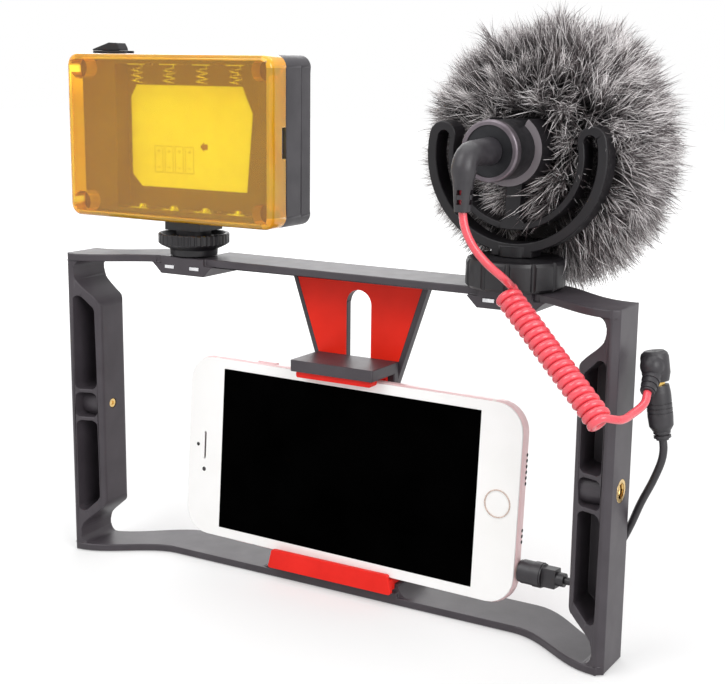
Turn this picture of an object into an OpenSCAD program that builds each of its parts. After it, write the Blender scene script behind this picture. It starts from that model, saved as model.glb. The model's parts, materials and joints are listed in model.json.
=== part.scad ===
// Smartphone video rig: a moulded two-grip cage with a sliding phone clamp, two accessory
// shoes, a battery lamp with an amber filter and a small microphone with its curly cord.
// Millimetres. X runs to the operator's right, Y away from the operator, Z up.
// The origin is the mouth of the tripod thread under the middle of the lower bar.

/* [Frame] */
// Overall width across the grips
frame_w = 246; // [236:1:300]
// Overall height of the cage
frame_h = 131; // [129:1:160]
// Depth of both bars, front to back
bar_depth = 24; // [23:0.5:30]
// Thickness of both bars
bar_t = 3; // [2.6:0.1:4]
// How far the bar ends bow towards the operator
bow = 18.5; // [12:0.5:24]
// Length over which a bar bows
bow_run = 40; // [30:1:45]

/* [Grips] */
// Width of a grip at its middle
grip_w = 15.5; // [14:0.5:20]
// Depth of a grip, front to back
grip_d = 20.5; // [19:0.5:24]
// Thickness of the neck at each end of a grip
neck_t = 4.5; // [3.5:0.1:6]
// Height of the straight neck, measured from the outside of the bar
neck_h = 9; // [7:0.5:12]
// Height over which a grip flares to its full width
flare_h = 14; // [11:0.5:18]
// Chamfer on the outer front edge of a grip
grip_chamfer = 2.3; // [1.5:0.1:3]
// How far the inner front edge of a grip lies behind the outer one
front_slant = 4.4; // [0:0.2:6]
// Wall between the pockets and the chamfer of a grip
pocket_wall = 1.4; // [1.2:0.1:2.4]
// Wall between the pockets and the inner side of a grip
pocket_rim = 2.6; // [1.4:0.1:3]
// Plastic left behind the pockets of a grip
pocket_back = 3.5; // [2:0.1:5]

/* [Threads] */
// Bore of a 1/4 inch thread, before tapping
thread_d = 5.1; // [4.9:0.05:5.5]
// Outer diameter of a brass insert
insert_d = 7.8; // [7.4:0.1:8.6]
// Length of a grip insert
insert_len = 9; // [7:0.5:11]
// Length of the tripod insert
tripod_insert_len = 7; // [6:0.1:7.2]

/* [Bracket and clamp] */
// Width of the hanging bracket under the top bar
bracket_top_w = 65.2; // [56:0.2:74]
// Width of the bracket at its lower end
bracket_low_w = 19; // [18.4:0.2:26]
// Thickness of the bracket
bracket_t = 4.2; // [4:0.1:4.8]
// Rim left around the red panel
panel_rim = 2.2; // [1.6:0.1:3]
// Thickness of the red panel
panel_t = 0.8; // [0.6:0.1:1.4]
// Width of the clamp slot
slot_w = 11.8; // [10:0.2:13]
// Distance from the top of the cage to the top of the slot
slot_drop = 9.5; // [7:0.5:12]
// Width of the clamp jaw
jaw_w = 38.2; // [32:0.2:44]
// Thickness of the jaw's shelf
shelf_t = 4.7; // [3:0.1:5]
// Thickness of the jaw's upright plate
jaw_plate_t = 3.4; // [3.2:0.1:4]
// Height of the jaw's upright plate
jaw_plate_h = 24; // [22:0.5:28]
// Diameter of the clamp screw
clamp_screw_d = 5; // [4:0.5:5.5]
// Diameter of the clamp knob
clamp_knob_d = 23; // [20:0.5:30]
// Depth of the clamp knob
clamp_knob_h = 10; // [9:0.5:14]

/* [Pads] */
// Length of the lower pad
pad_len = 59; // [50:1:62]
// Thickness of the lower pad under the phone
pad_t = 2.7; // [2.2:0.1:4]
// Thickness of the pad's front lip
lip_t = 1.8; // [1.6:0.1:2.4]
// Height of the pad's front lip
lip_h = 8.1; // [7.6:0.1:10]
// Height of the seat under the lower pad, above the bar
seat_h = 5.2; // [5:0.1:7]
// Thickness of the pad sheets behind the phone
pad_back_t = 1.4; // [1.2:0.1:2]

/* [Phone] */
// Length of the phone
phone_l = 158.2; // [150:0.1:160]
// Width of the phone
phone_w = 77.9; // [72:0.1:79]
// Thickness of the phone
phone_t = 7.3; // [7:0.1:8]
// Corner radius of the phone
phone_r = 11.5; // [9:0.5:14]
// Length of the display
display_l = 121.8; // [110:0.1:124]
// Width of the display
display_w = 68.5; // [60:0.1:70]
// Diameter of the home button
home_d = 10.8; // [9:0.1:12]
// Lean of the phone in the clamp, top away from the operator
phone_lean = 4.2; // [0:0.1:5]
// Turn of the phone in the clamp, right end towards the operator
phone_turn = 2; // [0:0.1:2.4]
// How far the phone sits to the right of the middle
phone_off = 2.7; // [0:0.1:4]

/* [Shoes] */
// Distance from the outside of a grip to the middle of a shoe
shoe_inset = 49.5; // [47:0.5:56]
// Width of a shoe foot
foot_w = 18.4; // [17.8:0.1:18.8]
// Length of a shoe foot
foot_len = 14; // [12:0.5:15]
// Thickness of a shoe foot
foot_t = 2; // [1.6:0.1:2.1]
// Depth of a shoe block below the top of the cage
shoe_drop = 7.4; // [7:0.1:9]
// Diameter of the threaded posts
post_d = 8; // [6:0.5:8.5]

/* [Lamp] */
// Width of the lamp
lamp_w = 105; // [102:0.5:110]
// Height of the lamp
lamp_h = 68; // [66:0.5:80]
// Height of the lamp's lower edge above the cage
lamp_lift = 14.6; // [14:0.2:20]
// Depth of the housing half that holds the batteries
rear_half_d = 10.6; // [10:0.1:14]
// Depth of the housing half that holds the LED board
front_half_d = 7; // [6.6:0.1:9]
// Depth of the amber filter
filter_d = 10.3; // [9:0.1:13]
// Wall of the amber filter
filter_wall = 1.7; // [1.2:0.1:2]
// Diameter of the lamp's lock wheel
wheel_d = 29.6; // [26:0.2:34]
// Pitch of the battery cells
cell_pitch = 16.8; // [15:0.1:17.4]

/* [Microphone] */
// Height of the microphone's axis above the cage
mic_lift = 50.7; // [48:0.1:54]
// Diameter of the microphone
mic_d = 21; // [19:0.2:22]
// Length of the microphone
mic_len = 78.8; // [74:0.2:84]
// Outer diameter of the shock mount's hoop
hoop_d = 70; // [66:0.5:72]
// Thickness of the hoop
hoop_t = 3.6; // [3:0.1:4.4]
// Depth of the hoop
hoop_depth = 9; // [7:0.5:11]
// Diameter of the microphone's lock knob
mic_knob_d = 36.5; // [30:0.5:40]
// Diameter of the windscreen's dense body
fur_d = 92; // [80:1:96]

/* [Cords] */
// Diameter of the red cord
red_d = 2.55; // [2:0.05:2.6]
// Outer diameter of the curls
curl_d = 9.4; // [9:0.1:11]
// Diameter of the black cable
cable_d = 2.8; // [2.4:0.1:3.2]

/* [Hidden] */
$fn = 64;

// Colours of the finishes
abs_grey = "#414044";
signal_red = "#e22a1e";
cord_red = "#ef4f52";
brass = "#d8b060";
steel = "#c4c4c6";
rose_metal = "#e6bdbd";
black_rubber = "#2b2a2c";
amber = [1, 0.66, 0.06, 0.6];

// Clearances: parts that move past each other, turning fits, pieces seated in one body
gap = 0.3;
turn_gap = 0.06;
seat_gap = 0.05;
eps = 0.01;

// Frame
half_w = frame_w / 2;
bar_front = -bar_depth / 2;
bar_back = bar_depth / 2;
bow_end = half_w - 3;
bow_steps = 12;
end_front = bar_front - bow;
grip_back = end_front + grip_d;
grip_mid_z = frame_h / 2;
grip_edge = 1.2;
grip_palm_r = 2.6;
neck_r = 3.5;
insert_y = end_front + 0.54 * grip_d;
flange_d = insert_d + 0.8;
boss_d = insert_d + 5;
rib_half = 7;
pocket_side = grip_chamfer + pocket_wall;
recess_d = 8;
peep_d = 4.4;

// Seat and bracket are fixed in the frame; the phone's place and the pads follow from them
seat_set = 1.4;
seat_front = bar_front + seat_set;
seat_top = bar_t + seat_h;
seat_half = pad_len / 2 + 0.5;
lip_bottom = bar_t + 2.1;
wall_t = 4;
wall_h = 9;
bracket_inset = 1.1;
bracket_back = bar_back - bracket_inset;
bracket_front = bracket_back - bracket_t;

// Clamp and phone: the phone rests on the lower pad and leans against the jaw's pad
pad_bite = 0.4;
half_high = phone_w / 2 * cos(phone_lean) + phone_t / 2 * sin(phone_lean);
phone_z = seat_top + pad_t - pad_bite + half_high;
jaw_pad_least = 0.7;
jaw_lip_h = 2.6;
shelf_under = phone_z + half_high + jaw_pad_least + gap;
shelf_front = bar_front - 2.2;
jaw_lip_front = shelf_front + 1.6;
plate_back = bracket_front - gap;
plate_front = plate_back - jaw_plate_t;
lean_cut = cos(phone_turn) * cos(phone_lean);
phone_y = plate_front - pad_back_t - gap - phone_depth(phone_t / 2, -jaw_w / 2, shelf_under);
lip_inner = phone_y + phone_depth(-phone_t / 2, pad_len / 2, seat_top + pad_t) - gap;
lip_front = lip_inner - lip_t;
wall_front = phone_y + phone_depth(phone_t / 2, -pad_len / 2, seat_top + wall_h)
    + pad_back_t + 2 * seat_gap;
plate_low = shelf_under - jaw_plate_h;
key_r = slot_w / 2 - gap;
key_low = plate_low + 1;
key_high = key_low + 2 * key_r + 1;
screw_z = (key_low + key_high) / 2;
slot_low = key_low - 2.2;
slot_top = frame_h - slot_drop;
bracket_low = slot_low - 4.5;
bracket_high = frame_h - bar_t;
washer_t = 1.2;
washer_front = bracket_back + gap;
knob_front = washer_front + washer_t + gap;
nut_t = 5;
screw_head_t = 2;

// How far a plane of the leaning phone lies behind the phone's middle at a place in the cage
function phone_depth(plane, x, z) =
    (plane + (z - phone_z) * sin(phone_lean)
        - (x - phone_off) * sin(phone_turn) * cos(phone_lean)) / lean_cut;

// Phone, in its own frame: x along its length, y through it, z across it
glass_t = 0.9;
phone_wall = 1.6;
phone_skin = 1;
face_y = -phone_t / 2;
rim_y = face_y + glass_t;
back_y = phone_t / 2;
floor_y = back_y - phone_skin;
key_y = (rim_y + back_y) / 2;
key_len = 10;
key_w = 2.4;
key_proud = 0.5;
power_x = -0.26 * phone_l;
volume_up_x = -0.313 * phone_l;
volume_down_x = volume_up_x + key_len + 1.5;
mute_x = volume_up_x - key_len / 2 - 5;
mute_len = 4.8;
mute_w = 1.6;
mute_travel = 0.9;
home_x = display_l / 2 + (phone_l - display_l) / 4;
jack_z = -phone_w / 2 + 14.2;
jack_len = 15;
jack_d = 5.2;
pin_d = 3.5;
pin_len = 14;
pin_root = 4;
pin_room = 0.5;
phone_pin_root = 6;
camera_in = 10;
camera_d = 7.2;
phone_board_w = 10;
phone_board_x = -phone_l / 2 + 20.4;

// Accessory shoes
shoe_x = half_w - shoe_inset;
shoe_y = bar_front + foot_len / 2;
shoe_wall = 1.4;
lip_up = 2;
cavity_front = shoe_y - foot_len / 2 - gap;
shoe_front = cavity_front - shoe_wall;
cavity_top = frame_h - lip_up;
leaf_t = 0.4;
cavity_low = cavity_top - foot_t - leaf_t - 2 * gap;
foot_low = cavity_low + leaf_t + gap;
foot_neck_w = 12;
shoe_top_w = 31;
shoe_low_w = 22;
window_x = 6.4;
window_w = 4.9;
window_h = 1.5;

// Lamp
lamp_x = -shoe_x - 4.5;
lamp_low = frame_h + lamp_lift;
lamp_z = lamp_low + lamp_h / 2;
lamp_r = 5;
lamp_wall = 2;
rear_y = shoe_y - 2.2;
seam_y = rear_y + rear_half_d;
lens_y = seam_y + front_half_d;
rim_d = 2;
filter_gap = 0.1;
filter_boss_d = 9;
filter_edge = 2.4;
filter_back = rear_y - filter_gap;
filter_front = filter_back - filter_d;
rim_inset = filter_wall + gap;
bay_w = 4 * cell_pitch + 5.8;
bay_x = lamp_x + 4;
bay_h = lamp_h - 8;
bay_floor = rear_y + 6;
cell_y = bay_floor - 7.25;
spring_d = 5.4;
spring_wire = 0.7;
spring_turns = 3;
spring_pitch = 2.1;
contact_t = 0.5;
label_t = 0.3;
cavity_w = bay_x - bay_w / 2 - 2 - (lamp_x - lamp_w / 2 + rim_inset + lamp_wall);
cavity_x = bay_x - bay_w / 2 - 2 - cavity_w / 2;
driver_w = cavity_w - 1;
driver_h = bay_h - 10;
contact_w = 0.54 * cell_pitch;
switch_x = lamp_x - 39.5;
switch_y = rear_y + rear_half_d / 2;
switch_travel = 3;
bezel_l = 20;
bezel_w = 8.6;
bezel_t = 1.2;
stem_block = [18, 16, 3.6];
post_r = post_d / 2;
neck_top = frame_h + 0.2;
wheel_low = neck_top + gap;
wheel_h = 9.2;
wheel_dish = 7.2;
lamp_post_top = lamp_low - 2.2;

// Microphone
mic_x = shoe_x;
mic_z = frame_h + mic_lift;
mic_r = mic_d / 2;
mic_rear = shoe_y - 25.8;
mic_ring_len = 3.5;
mic_ring_t = 1.5;
mic_disc = mic_rear + 0.6;
mic_split = mic_rear + 0.64 * mic_len;
mic_front = mic_rear + mic_len;
hoop_z = mic_z - 2.7;
hoop_r = hoop_d / 2;
strand_r = 26.6;
strand_t = 2.4;
tip_angle = 12;
hoop_front = shoe_y - hoop_depth / 2;
hoop_back = shoe_y + hoop_depth / 2;
clip_wall = 2.6;
clip_front = hoop_front - 6;
clip_back = hoop_back - 3.5;
clip_half_gap = 35;
mic_knob_low = wheel_low;
mic_knob_h = 11;
saddle_low = mic_knob_low + mic_knob_h + 0.4;
saddle_top = hoop_z - hoop_r + hoop_t;
mic_post_top = saddle_low + 2.6;
fur_y = hoop_back + 16.2;
fur_rear = hoop_back + 2.5;
fur_r = fur_d / 2;

// Sound slots of the capsule
vent_pitch = 5;
vent_edge = 4;
vent_w = 2;
vent_deep = 2;
vent_h = 6;

// Cords: the elbow plug on the microphone
boot_y = mic_rear - 18.7;
boot_drop = 19.2;
boot_bend = 6;
boot_d = 5.8;
elbow_d = 8.6;
lead_in = 9.5;
boot_low = mic_z - boot_drop;
boot_end = [mic_x, boot_y, boot_low];

// The right-angle plug and the inline socket hang beside the right grip
socket_top = [half_w + 9.2, -14.5, 104];
socket_tilt = 9;
socket_d = 8.8;
socket_len = 16;
socket_tail = 3.4;
relief_turn = 127;
relief_len = 13;
head_z = 7;

// The phone plug
plug_barrel = 9.6;
plug_relief = 8.4;
plug_d = 9;
plug_stand = 0.6;

// Collars of the pins
socket_collar_d = 5.4;
socket_collar_h = 1.15;
phone_collar_d = 5;

// Curly cord: its axis runs from beside the lock knob to the right grip
curl_from = [81.3, -30, 133];
curl_to = [124.6, -48, 97.2];
curl_turns = 19.625;
curl_rings = 8;
curl_sides = 6;

// Points between the elbow plug and the first curl
lead_points = [
    [74.6, -49.5, 157], [76.6, -48.8, 152.3], [79.3, -47.2, 147.9], [82.4, -44.6, 143.8],
    [84.8, -41, 140.4], [84.8, -36.8, 138.2]
];
// Points between the last curl and the right-angle plug
tail_points = [[127.4, -48.6, 96.6], [130.4, -43.5, 97], [131.4, -36.5, 98.2]];
// Points between the inline socket and the phone plug
cable_points = [
    [135.2, -14.1, 77.6], [132, -12.4, 69.2], [127.2, -10, 59.4], [123, -7.5, 49.6],
    [119.8, -6.2, 43], [116, -5.6, 37], [112, -5.8, 31.8], [108.8, -7, 28.4], [106, -9.3, 26.2]
];

// Straight-line and outline helpers
function unit(v) = v / norm(v);
function ease(t) = (1 - cos(180 * t)) / 2;
function flip(points) = [for (i = [len(points) - 1:-1:0]) points[i]];
function mirrored(points) = [for (p = points) [-p.x, p.y]];
function moved(points, by) = [for (p = points) p + by];
function box(w, h) = [[-w / 2, -h / 2], [w / 2, -h / 2], [w / 2, h / 2], [-w / 2, h / 2]];
function arc(r, from, to, n) =
    [for (i = [0:n]) r * [cos(from + (to - from) * i / n), sin(from + (to - from) * i / n)]];

// One corner of an outline as an arc
function corner(before, at, after, r, n) =
    let (
        u = unit(before - at),
        v = unit(after - at),
        half = acos(u * v) / 2,
        centre = at + unit(u + v) * r / sin(half),
        start = at + u * r / tan(half) - centre,
        stop = at + v * r / tan(half) - centre,
        a = atan2(start.y, start.x),
        turn = (atan2(stop.y, stop.x) - a + 540) % 360 - 180
    )
    moved(arc(r, a, a + turn, n), centre);

// An outline with every corner rounded
function rounded(points, r, n = 6) =
    let (k = len(points))
    [for (i = [0:k - 1])
        each corner(points[(i + k - 1) % k], points[i], points[(i + 1) % k], r, n)];

// A band along an arc, with round ends
function arc_band(r, w, from, to, n) = concat(
    arc(r + w / 2, from, to, n),
    moved(arc(w / 2, to, to + 180, 8), r * [cos(to), sin(to)]),
    arc(r - w / 2, to, from, n),
    moved(arc(w / 2, from + 180, from + 360, 8), r * [cos(from), sin(from)])
);

// Tubes swept along points, each ring square to the route
function tangents(p) =
    let (last = len(p) - 1)
    [for (i = [0:last])
        unit(i == 0 ? p[1] - p[0]
            : i == last ? p[last] - p[last - 1]
            : unit(p[i + 1] - p[i]) + unit(p[i] - p[i - 1]))];
function across(v, t) = unit(v - (v * t) * t);
function carried(t, start) =
    [for (i = 0, u = across(start, t[0]); i < len(t);
        i = i + 1, u = i < len(t) ? across(u, t[i]) : u) u];

module tube(p, d, sides) {
    t = tangents(p);
    u = carried(t, abs(t[0].z) < 0.7 ? [0, 0, 1] : [1, 0, 0]);
    rings = len(p);
    widths = is_list(d) ? d : [for (q = p) d];
    corners = [for (i = [0:rings - 1], j = [0:sides - 1])
        p[i] + widths[i] / 2 * (cos(360 * j / sides) * u[i] + sin(360 * j / sides) * cross(t[i], u[i]))];
    walls = [for (i = [0:rings - 2], j = [0:sides - 1])
        let (a = i * sides + j, b = i * sides + (j + 1) % sides)
        each [[a, a + sides, b + sides], [a, b + sides, b]]];
    top = (rings - 1) * sides;
    caps = [for (j = [1:sides - 2]) each [[0, j, j + 1], [top, top + j + 1, top + j]]];
    polyhedron(corners, concat(walls, caps));
}

// Least clear distance between the turns of a coil, on its points
function least_gap(p, d, rings) =
    min([for (i = [0:len(p) - 1], j = [i + rings / 2:1:min(i + 2 * rings, len(p) - 1)])
        norm(p[i] - p[j])]) - d;

// Shapes along the axes
module along_y(points, from, to) {
    translate([0, to, 0]) rotate([90, 0, 0]) linear_extrude(to - from) polygon(points);
}
module along_x(points, from, to) {
    translate([from, 0, 0]) rotate([90, 0, 90]) linear_extrude(to - from) polygon(points);
}
module rod_x(d, from, to) {
    translate([from, 0, 0]) rotate([0, 90, 0]) cylinder(d = d, h = to - from);
}
module rod_y(d, from, to) {
    translate([0, from, 0]) rotate([-90, 0, 0]) cylinder(d = d, h = to - from);
}
module turned_y(points) {
    rotate([-90, 0, 0]) rotate_extrude() polygon(points);
}
module slot_y(r, low, high, from, to) {
    translate([-r, from, low + r]) cube([2 * r, to - from, high - low - 2 * r]);
    for (z = [low + r, high - r]) translate([0, 0, z]) rod_y(2 * r, from, to);
}

// Cage
function bow_edge(from, to) =
    [for (i = [0:bow_steps])
        [bow_end - bow_run * (1 - i / bow_steps), from + (to - from) * ease(i / bow_steps)]];

// Outer edge of a grip seen from above, from the front round to the back
grip_side = [
    [bow_end - 1, end_front], [half_w - grip_chamfer, end_front], [half_w, end_front + grip_chamfer],
    [half_w, grip_back], [bow_end - 1, grip_back]
];
grip_round = [for (i = [1:3])
    each corner(grip_side[i - 1], grip_side[i], grip_side[i + 1], grip_edge, 4)];

module bar(low) {
    side = concat(bow_edge(bar_front, end_front), grip_round, flip(bow_edge(bar_back, grip_back)));
    translate([0, 0, low]) linear_extrude(bar_t) polygon(concat(side, flip(mirrored(side))));
}

// Inner edge of a grip's lower half: fillet over the bar, neck and flare
function grip_inner() =
    let (neck_in = half_w - neck_t)
    concat(
        [[neck_in - neck_r, 0]],
        moved(arc(neck_r, -90, 0, 5), [neck_in - neck_r, bar_t + neck_r]),
        [for (i = [0:bow_steps])
            let (t = i / bow_steps)
            [neck_in - (grip_w - neck_t) * ease(t), neck_h + flare_h * t]]
    );

module grip() {
    low = grip_inner();
    high = [for (p = low) [p.x, frame_h - p.y]];
    inner = half_w - grip_w;
    back_in = [inner, grip_back];
    front_in = [inner, end_front + front_slant];
    front_out = [half_w - grip_chamfer, end_front];
    intersection() {
        along_y(concat([[half_w, 0], [half_w, frame_h]], high, flip(low)), end_front, grip_back);
        linear_extrude(frame_h) polygon(concat(
            corner(front_in, front_out, grip_side[2], grip_edge, 4),
            corner(front_out, grip_side[2], grip_side[3], grip_edge, 4),
            corner(grip_side[2], grip_side[3], back_in, grip_edge, 4),
            corner(grip_side[3], back_in, front_in, grip_palm_r, 6),
            corner(back_in, front_in, front_out, grip_palm_r, 6)
        ));
    }
}

// The two deep pockets and the shallow recess over the insert's boss
module grip_pockets() {
    inner = half_w - grip_w + pocket_rim;
    outer = half_w - pocket_side;
    pocket = rounded([
        [inner, rib_half],
        [outer, rib_half],
        [outer, grip_mid_z - neck_h - 0.42 * flare_h],
        [inner, grip_mid_z - neck_h - flare_h - 0.8]
    ], 2.2);
    for (up = [0, 1])
        translate([0, 0, grip_mid_z]) mirror([0, 0, up])
            along_y(pocket, end_front - 1, grip_back - pocket_back);
    difference() {
        along_y(rounded(moved(box(outer - inner, 2 * rib_half - 3.4),
            [(outer + inner) / 2, grip_mid_z]), 2), end_front - 1, end_front + recess_d);
        translate([0, insert_y, grip_mid_z]) rod_x(boss_d, inner - 1, outer + 1);
    }
}

module grip_bores() {
    translate([0, insert_y, grip_mid_z]) {
        rod_x(insert_d + 2 * seat_gap, half_w - insert_len, half_w + 1);
        rod_x(flange_d + 2 * seat_gap, half_w - 1, half_w + 1);
        rod_x(peep_d, half_w - grip_w - 1, half_w - insert_len + eps);
    }
}

module lower_seat() {
    fillet = moved(arc(seat_h, 180, 270, 8), [seat_half + seat_h, seat_top]);
    along_y(concat(fillet, flip(mirrored(fillet))), seat_front, bar_back);
    translate([-seat_half, bar_front, bar_t - eps])
        cube([2 * seat_half, seat_front - bar_front + 1, lip_bottom - bar_t]);
    translate([-seat_half, wall_front, seat_top - eps]) cube([2 * seat_half, wall_t, wall_h]);
}

function bracket_outline(inset, low, high) =
    let (slope = (bracket_top_w - bracket_low_w) / 2 / (bracket_high - bracket_low))
    [for (p = [[-1, low], [1, low], [1, high], [-1, high]])
        [p.x * (bracket_low_w / 2 + slope * (p.y - bracket_low) - inset), p.y]];

module bracket() {
    difference() {
        along_y(bracket_outline(0, bracket_low, bracket_high + eps), bracket_front, bracket_back);
        along_y(bracket_outline(panel_rim, bracket_low + panel_rim, bracket_high),
            bracket_front - 1, bracket_front + panel_t);
        slot_y(slot_w / 2, slot_low, slot_top, bracket_front - 1, bracket_back + 1);
    }
}

module shoe_block() {
    translate([shoe_x, 0, 0])
        along_y([
            [-shoe_low_w / 2, frame_h - shoe_drop],
            [shoe_low_w / 2, frame_h - shoe_drop],
            [shoe_top_w / 2, frame_h - bar_t + eps],
            [-shoe_top_w / 2, frame_h - bar_t + eps]
        ], shoe_front, bar_back);
    translate([shoe_x - shoe_low_w / 2, shoe_front, frame_h - bar_t])
        cube([shoe_low_w, shoe_wall + 2, bar_t]);
}

module shoe_slot() {
    run = bar_back + 1 - cavity_front;
    translate([shoe_x, cavity_front, 0]) {
        translate([-foot_w / 2 - gap, 0, cavity_low])
            cube([foot_w + 2 * gap, run, cavity_top - cavity_low]);
        translate([-foot_neck_w / 2 - gap, 0, cavity_top - eps])
            cube([foot_neck_w + 2 * gap, run, lip_up + 1]);
    }
    for (x = [-window_x, window_x])
        translate([shoe_x + x - window_w / 2, shoe_front - 1, cavity_low])
            cube([window_w, shoe_wall + 1 + eps, window_h]);
}

module rig_frame() {
    color(abs_grey) difference() {
        union() {
            bar(0);
            bar(frame_h - bar_t);
            lower_seat();
            bracket();
            for (side = [0, 1]) mirror([side, 0, 0]) {
                grip();
                shoe_block();
            }
        }
        for (side = [0, 1]) mirror([side, 0, 0]) {
            grip_pockets();
            grip_bores();
            shoe_slot();
        }
        translate([0, 0, -1]) cylinder(d = insert_d + 2 * seat_gap, h = tripod_insert_len + 1);
        translate([0, 0, -1]) cylinder(d = flange_d + 2 * seat_gap, h = 2);
    }
}

module red_panel() {
    fit = panel_rim + seat_gap;
    color(signal_red) difference() {
        along_y(bracket_outline(fit, bracket_low + fit, bracket_high - seat_gap),
            bracket_front, bracket_front + panel_t - seat_gap);
        slot_y(slot_w / 2, slot_low, slot_top, bracket_front - 1, bracket_back + 1);
    }
}

module lower_pad() {
    half = pad_len / 2;
    low = seat_top + seat_gap;
    back = wall_front - seat_gap;
    front = seat_front - seat_gap;
    sheet = wall_front - pad_back_t;
    lip = rounded([
        [-half, lip_bottom], [half, lip_bottom],
        [half - 2, lip_bottom + lip_h], [2 - half, lip_bottom + lip_h]
    ], 1.2);
    color(signal_red) difference() {
        union() {
            along_y(lip, lip_front, lip_inner);
            along_x([
                [lip_front + 1, lip_bottom + 1.2], [front, lip_bottom + 1.2], [front, low], [back, low],
                [back, low + wall_h - 1], [sheet, low + wall_h - 1], [sheet, low + pad_t],
                [lip_front + 1, low + pad_t]
            ], 1 - half, half - 1);
        }
        phone_room(seat_gap);
    }
}

// A threaded brass bush with a flange at its mouth, lying along -Z from the origin
module brass_insert(length) {
    color(brass) difference() {
        union() {
            cylinder(d = insert_d, h = length);
            cylinder(d = flange_d, h = 1 - seat_gap);
        }
        translate([0, 0, -1]) cylinder(d = thread_d, h = length + 2);
    }
}

module grip_insert(side) {
    translate([side * half_w, insert_y, grip_mid_z]) rotate([0, -90 * side, 0])
        brass_insert(insert_len - seat_gap);
}
module grip_insert_left() { grip_insert(-1); }
module grip_insert_right() { grip_insert(1); }
module tripod_insert() { brass_insert(tripod_insert_len - seat_gap); }

// Leaf spring on the floor of a shoe, with two tabs through the front wall
module shoe_spring(side) {
    front = cavity_front + seat_gap;
    color(steel) translate([side * shoe_x, 0, 0]) {
        translate([-foot_w / 2 + 1, front, cavity_low])
            cube([foot_w - 2, foot_len - 1, leaf_t]);
        for (x = [-window_x, window_x])
            translate([x - window_w / 2 + seat_gap, shoe_front - 0.2, cavity_low])
                cube([window_w - 2 * seat_gap, shoe_wall + 0.2 + 2 * seat_gap, window_h - 2 * seat_gap]);
    }
}
module shoe_spring_left() { shoe_spring(-1); }
module shoe_spring_right() { shoe_spring(1); }

// Phone
module place_phone() {
    translate([phone_off, phone_y, phone_z]) rotate([-phone_lean, 0, -phone_turn]) children();
}

module phone_room(space) {
    place_phone() along_y(rounded(box(phone_l + 2 * space, phone_w + 2 * space), phone_r),
        face_y - space, back_y + space);
}

// Rounded slab of the phone's body, behind the front glass
module phone_slab() {
    edge = [
        [0, rim_y], [phone_r - 0.6, rim_y], [phone_r - 0.1, rim_y + 0.9], [phone_r, key_y],
        [phone_r - 0.4, back_y - 2], [phone_r - 1.3, back_y - 0.8], [phone_r - 2.6, back_y], [0, back_y]
    ];
    hull()
        for (x = [-1, 1], z = [-1, 1])
            translate([x * (phone_l / 2 - phone_r), 0, z * (phone_w / 2 - phone_r)])
                rotate([-90, 0, 0]) rotate_extrude($fn = 32) polygon(edge);
}

// A side key's outline, long way along the phone's edge
module side_key(x, length, width, low, high) {
    translate([x, key_y, low]) linear_extrude(high - low)
        polygon(rounded(box(length, width), width / 2 - eps, 8));
}

module phone_body() {
    inner_l = phone_l - 2 * phone_wall;
    inner_w = phone_w - 2 * phone_wall;
    edge = phone_w / 2;
    color(rose_metal) place_phone() difference() {
        phone_slab();
        along_y(rounded(box(inner_l, inner_w), phone_r - phone_wall), rim_y - 1, floor_y);
        side_key(power_x, key_len + 0.2, key_w + 0.2, edge - phone_wall - 1, edge + 1);
        for (x = [volume_up_x, volume_down_x])
            side_key(x, key_len + 0.2, key_w + 0.2, -edge - 1, 1 + phone_wall - edge);
        side_key(mute_x, mute_len + 0.2, mute_w + 2 * mute_travel + 0.2, -edge - 1, 1 + phone_wall - edge);
        translate([0, key_y, jack_z])
            rod_x(jack_d + 2 * seat_gap, phone_l / 2 - jack_len - seat_gap, phone_l / 2 + 1);
        translate([camera_in - phone_l / 2, 0, edge - camera_in])
            rod_y(camera_d + 2 * seat_gap, floor_y - 1, back_y + 1);
    }
}

module phone_glass() {
    color("#f7f6f4") place_phone() difference() {
        along_y(rounded(box(phone_l - 1.2, phone_w - 1.2), phone_r - 0.6), face_y, rim_y);
        along_y(box(display_l, display_w), face_y - 1, rim_y + 1);
        translate([home_x, 0, 0]) rod_y(home_d, face_y - 1, rim_y + 1);
        translate([-home_x, 0, 0]) slot_y(0.5, -6, 6, face_y - 1, rim_y + 1);
    }
}

module phone_display() {
    color("#0b0b0d") place_phone() {
        along_y(box(display_l - 2 * seat_gap, display_w - 2 * seat_gap), face_y, rim_y + seat_gap + eps);
        along_y(box(display_l + 2, display_w + 2), rim_y + seat_gap, rim_y + 0.6);
    }
}

module phone_battery() {
    color("#26272b") place_phone()
        along_y(rounded(box(0.6 * phone_l, 0.6 * phone_w), 2), floor_y - 3.2, floor_y);
}

module phone_board() {
    wide = 0.8 * phone_w;
    color("#23482f") place_phone()
        translate([phone_board_x, 0, 0])
            along_y(rounded(box(phone_board_w, wide), 1), floor_y - 1.2, floor_y);
}

module phone_camera() {
    color("#1b1b1f") place_phone()
        translate([camera_in - phone_l / 2, 0, phone_w / 2 - camera_in])
            rod_y(camera_d, floor_y - 1, back_y + 0.8);
}

module phone_jack() {
    color("#e9e7e4") place_phone() translate([0, key_y, jack_z]) difference() {
        rod_x(jack_d, phone_l / 2 - jack_len, phone_l / 2 - 0.4);
        rod_x(pin_d + 2 * seat_gap, phone_l / 2 - jack_len + 1, phone_l / 2);
    }
}

module home_button() {
    color("#f2f0ee") place_phone()
        translate([home_x, 0, 0]) rod_y(home_d - 0.2, face_y + 0.05, rim_y + 0.3);
}

module edge_key(x, side) {
    edge = phone_w / 2;
    color(rose_metal) place_phone() mirror([0, 0, side < 0 ? 1 : 0])
        side_key(x, key_len, key_w, edge - phone_wall - 0.6, edge + key_proud);
}
module power_button() { edge_key(power_x, 1); }
module volume_up() { edge_key(volume_up_x, -1); }
module volume_down() { edge_key(volume_down_x, -1); }

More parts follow.
